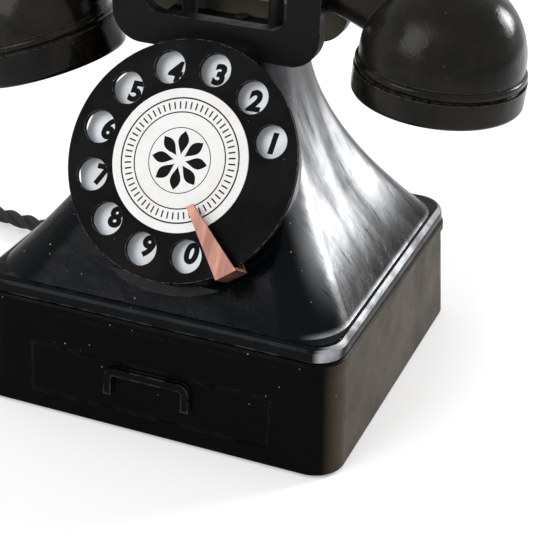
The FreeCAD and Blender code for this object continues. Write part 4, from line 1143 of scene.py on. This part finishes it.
    def lay_map(self, mesh: bpy.types.Mesh, along: np.ndarray) -> None:
        """Gives the strands a map: metres along the cord, and turns round it.

        Args:
            mesh: The strands' mesh.
            along: Distance of each point along the path.
        """
        layer = mesh.uv_layers.new(name="strand_map")
        corner = np.empty(len(mesh.loops), dtype=np.int32)
        mesh.loops.foreach_get("vertex_index", corner)
        pair = np.stack((along[corner // self.around], (corner % self.around) / self.around), axis=1)
        layer.data.foreach_set("uv", pair.ravel())


@dataclass(frozen=True)
class Lamp:
    """A square soft lamp: its place, the point that it faces, its side in metres and its power in watts."""

    name: str
    place: Place
    target: Place
    size: float
    power: float

    def build(self) -> None:
        """Adds the lamp, turned to face its target."""
        data = bpy.data.lights.new(self.name, "AREA")
        data.size = self.size
        data.energy = self.power
        made = bpy.data.objects.new(self.name, data)
        bpy.context.scene.collection.objects.link(made)
        away = Vector(self.place) - Vector(self.target)
        turn = away.to_track_quat("Z", "Y").to_matrix().to_4x4()
        made.matrix_world = Matrix.Translation(self.place) @ turn


@dataclass
class Studio:
    """Pale floor, soft lamps, a white surround and the camera."""

    place: Place = (0.222705, -0.511199, 0.340693)
    right: Place = (0.92606614, 0.37660119, 0.0239384066)
    up: Place = (-0.200860476, 0.438227015, 0.87613478)
    back: Place = (0.319462945, -0.816167034, 0.481471495)
    focal_pixels: float = 1522.36
    frame_pixels: float = 551.0
    sensor: float = 36.0
    floor_half: float = 6.0
    surround: float = 1.0
    ambient: float = 0.55
    far_clip: float = 50.0
    floor_lift: float = 0.3
    floor_cells: float = 3.0
    floor_tones: Span = (0.86, 0.9)
    floor_rough: float = 0.9
    floor_specular: float = 0.1
    lamps: tuple[Lamp, ...] = (
        Lamp("window", (0.74, 0.78, 0.50), (0.02, 0.0, 0.08), 0.3, 8.0),
        Lamp("front_fill", (-0.55, -0.95, 0.85), (0.0, -0.04, 0.1), 0.8, 8.5),
    )

    @staticmethod
    def seen(tree: Tree) -> Socket:
        """Tells whether the camera, gloss or glass sees the surface.

        Args:
            tree: The tree of the world's or the floor's material.

        Returns:
            1 where it is seen, and 0 where it only lights others.
        """
        rays = tree.node("ShaderNodeLightPath").outputs
        mirrored = tree.math("MAXIMUM", rays["Is Glossy Ray"], rays["Is Transmission Ray"])
        return tree.math("MAXIMUM", rays["Is Camera Ray"], mirrored)

    def build_camera(self) -> None:
        """Sets the camera from its place, its axes and its focal length in pixels."""
        data = bpy.data.cameras.new("camera")
        data.sensor_fit = "HORIZONTAL"
        data.sensor_width = self.sensor
        data.lens = self.sensor * self.focal_pixels / self.frame_pixels
        data.clip_end = self.far_clip
        camera = bpy.data.objects.new("camera", data)
        bpy.context.scene.collection.objects.link(camera)
        turn = Matrix((self.right, self.up, self.back)).transposed().to_4x4()
        camera.matrix_world = Matrix.Translation(self.place) @ turn
        bpy.context.scene.camera = camera

    def build_world(self) -> None:
        """White where the camera, gloss or glass sees it, and dimmer as a lamp."""
        world = bpy.data.worlds.new("surround")
        world.use_nodes = True
        bpy.context.scene.world = world
        tree = Tree(world.node_tree)
        strength = tree.ramp(self.seen(tree), 0.0, 1.0, self.ambient, self.surround)
        background = world.node_tree.nodes["Background"]
        background.inputs["Color"].default_value = grey(1.0)
        tree.link(strength, background.inputs["Strength"])

    def build_floor(self) -> None:
        """A pale floor, faintly uneven in tone and lifted to white where it is seen."""
        half = self.floor_half
        corners = np.array([(-half, -half, 0.0), (half, -half, 0.0), (half, half, 0.0), (-half, half, 0.0)])
        floor = Surfaces.piece("floor", corners, [(0, 1, 2, 3)], False)
        material = bpy.data.materials.new("floor_paper")
        material.use_nodes = True
        tree = Tree(material.node_tree)
        shader = material.node_tree.nodes["Principled BSDF"]
        noise = tree.noise(tree.coordinate(Coordinate.PLACE), self.floor_cells)
        tree.link(tree.mix(noise, *map(grey, self.floor_tones)), shader.inputs["Base Color"])
        tree.link(tree.times(self.seen(tree), self.floor_lift), shader.inputs["Emission Strength"])
        shader.inputs["Emission Color"].default_value = grey(1.0)
        shader.inputs["Roughness"].default_value = self.floor_rough
        shader.inputs["Specular IOR Level"].default_value = self.floor_specular
        floor.data.materials.append(material)

    def build(self) -> None:
        """Builds the camera, surround, floor and lamps."""
        bpy.context.scene.view_settings.view_transform = "Standard"
        self.build_camera()
        self.build_world()
        self.build_floor()
        for lamp in self.lamps:
            lamp.build()


class Telephone:
    """Dresses the model's parts and adds the pieces that only show."""

    def __init__(self, frame: Mapping[str, Any]) -> None:
        """Keeps the loaded model and makes every finish.

        Args:
            frame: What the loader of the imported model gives.
        """
        self.nodes = frame["nodes"]
        self.effects = Effects()
        self.materials = {finish.slot: finish.build(self.effects) for finish in FINISHES}

    def dress_nodes(self) -> None:
        """Gives each part of the model its own finish, or else the one that its slot names."""
        own = {finish: finish.build(self.effects) for finish in dict.fromkeys(OWN_FINISHES.values())}
        for name, part in self.nodes.items():
            for holder in part.material_slots:
                slot = Slot(holder.material.name.split(".")[0])
                holder.material = own[OWN_FINISHES[name]] if name in OWN_FINISHES else self.materials[slot]
            LOG.info("dressed %s", name)

    def add(self, piece: bpy.types.Object, slot: Slot, material: bpy.types.Material) -> bpy.types.Object:
        """Gives a new piece its material.

        Args:
            piece: The new piece.
            slot: Not used.
            material: The material that it shows.

        Returns:
            The same piece.
        """
        piece.data.materials.append(material)
        LOG.info("added %s", piece.name)
        return piece

    def add_print(self) -> None:
        """Adds the dial's digits and the card's print."""
        dial = Dial()
        ink = PRINTING_INK.build(self.effects)
        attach(self.add(dial.build_digits(), Slot.ENAMEL, ink), Body.BASE.value)
        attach(self.add(dial.build_card_print(), Slot.CARD, ink), Body.ROTOR.value)

    def add_cord(self) -> None:
        """Adds the twisted cord in place of the model's plain tube."""
        cord = HandsetCord()
        piece, path = cord.build()
        self.add(piece, Slot.CORD_COTTON, self.materials[Slot.CORD_COTTON])
        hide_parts("handset_cord")
        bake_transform(piece)


def main() -> None:
    """Loads the model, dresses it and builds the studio."""
    logging.basicConfig(level=logging.INFO)
    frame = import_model()
    studio = Studio()
    studio.build()
    telephone = Telephone(frame)
    telephone.add_cord()
    telephone.dress_nodes()
    telephone.add_print()


if __name__ == "__main__":
    main()
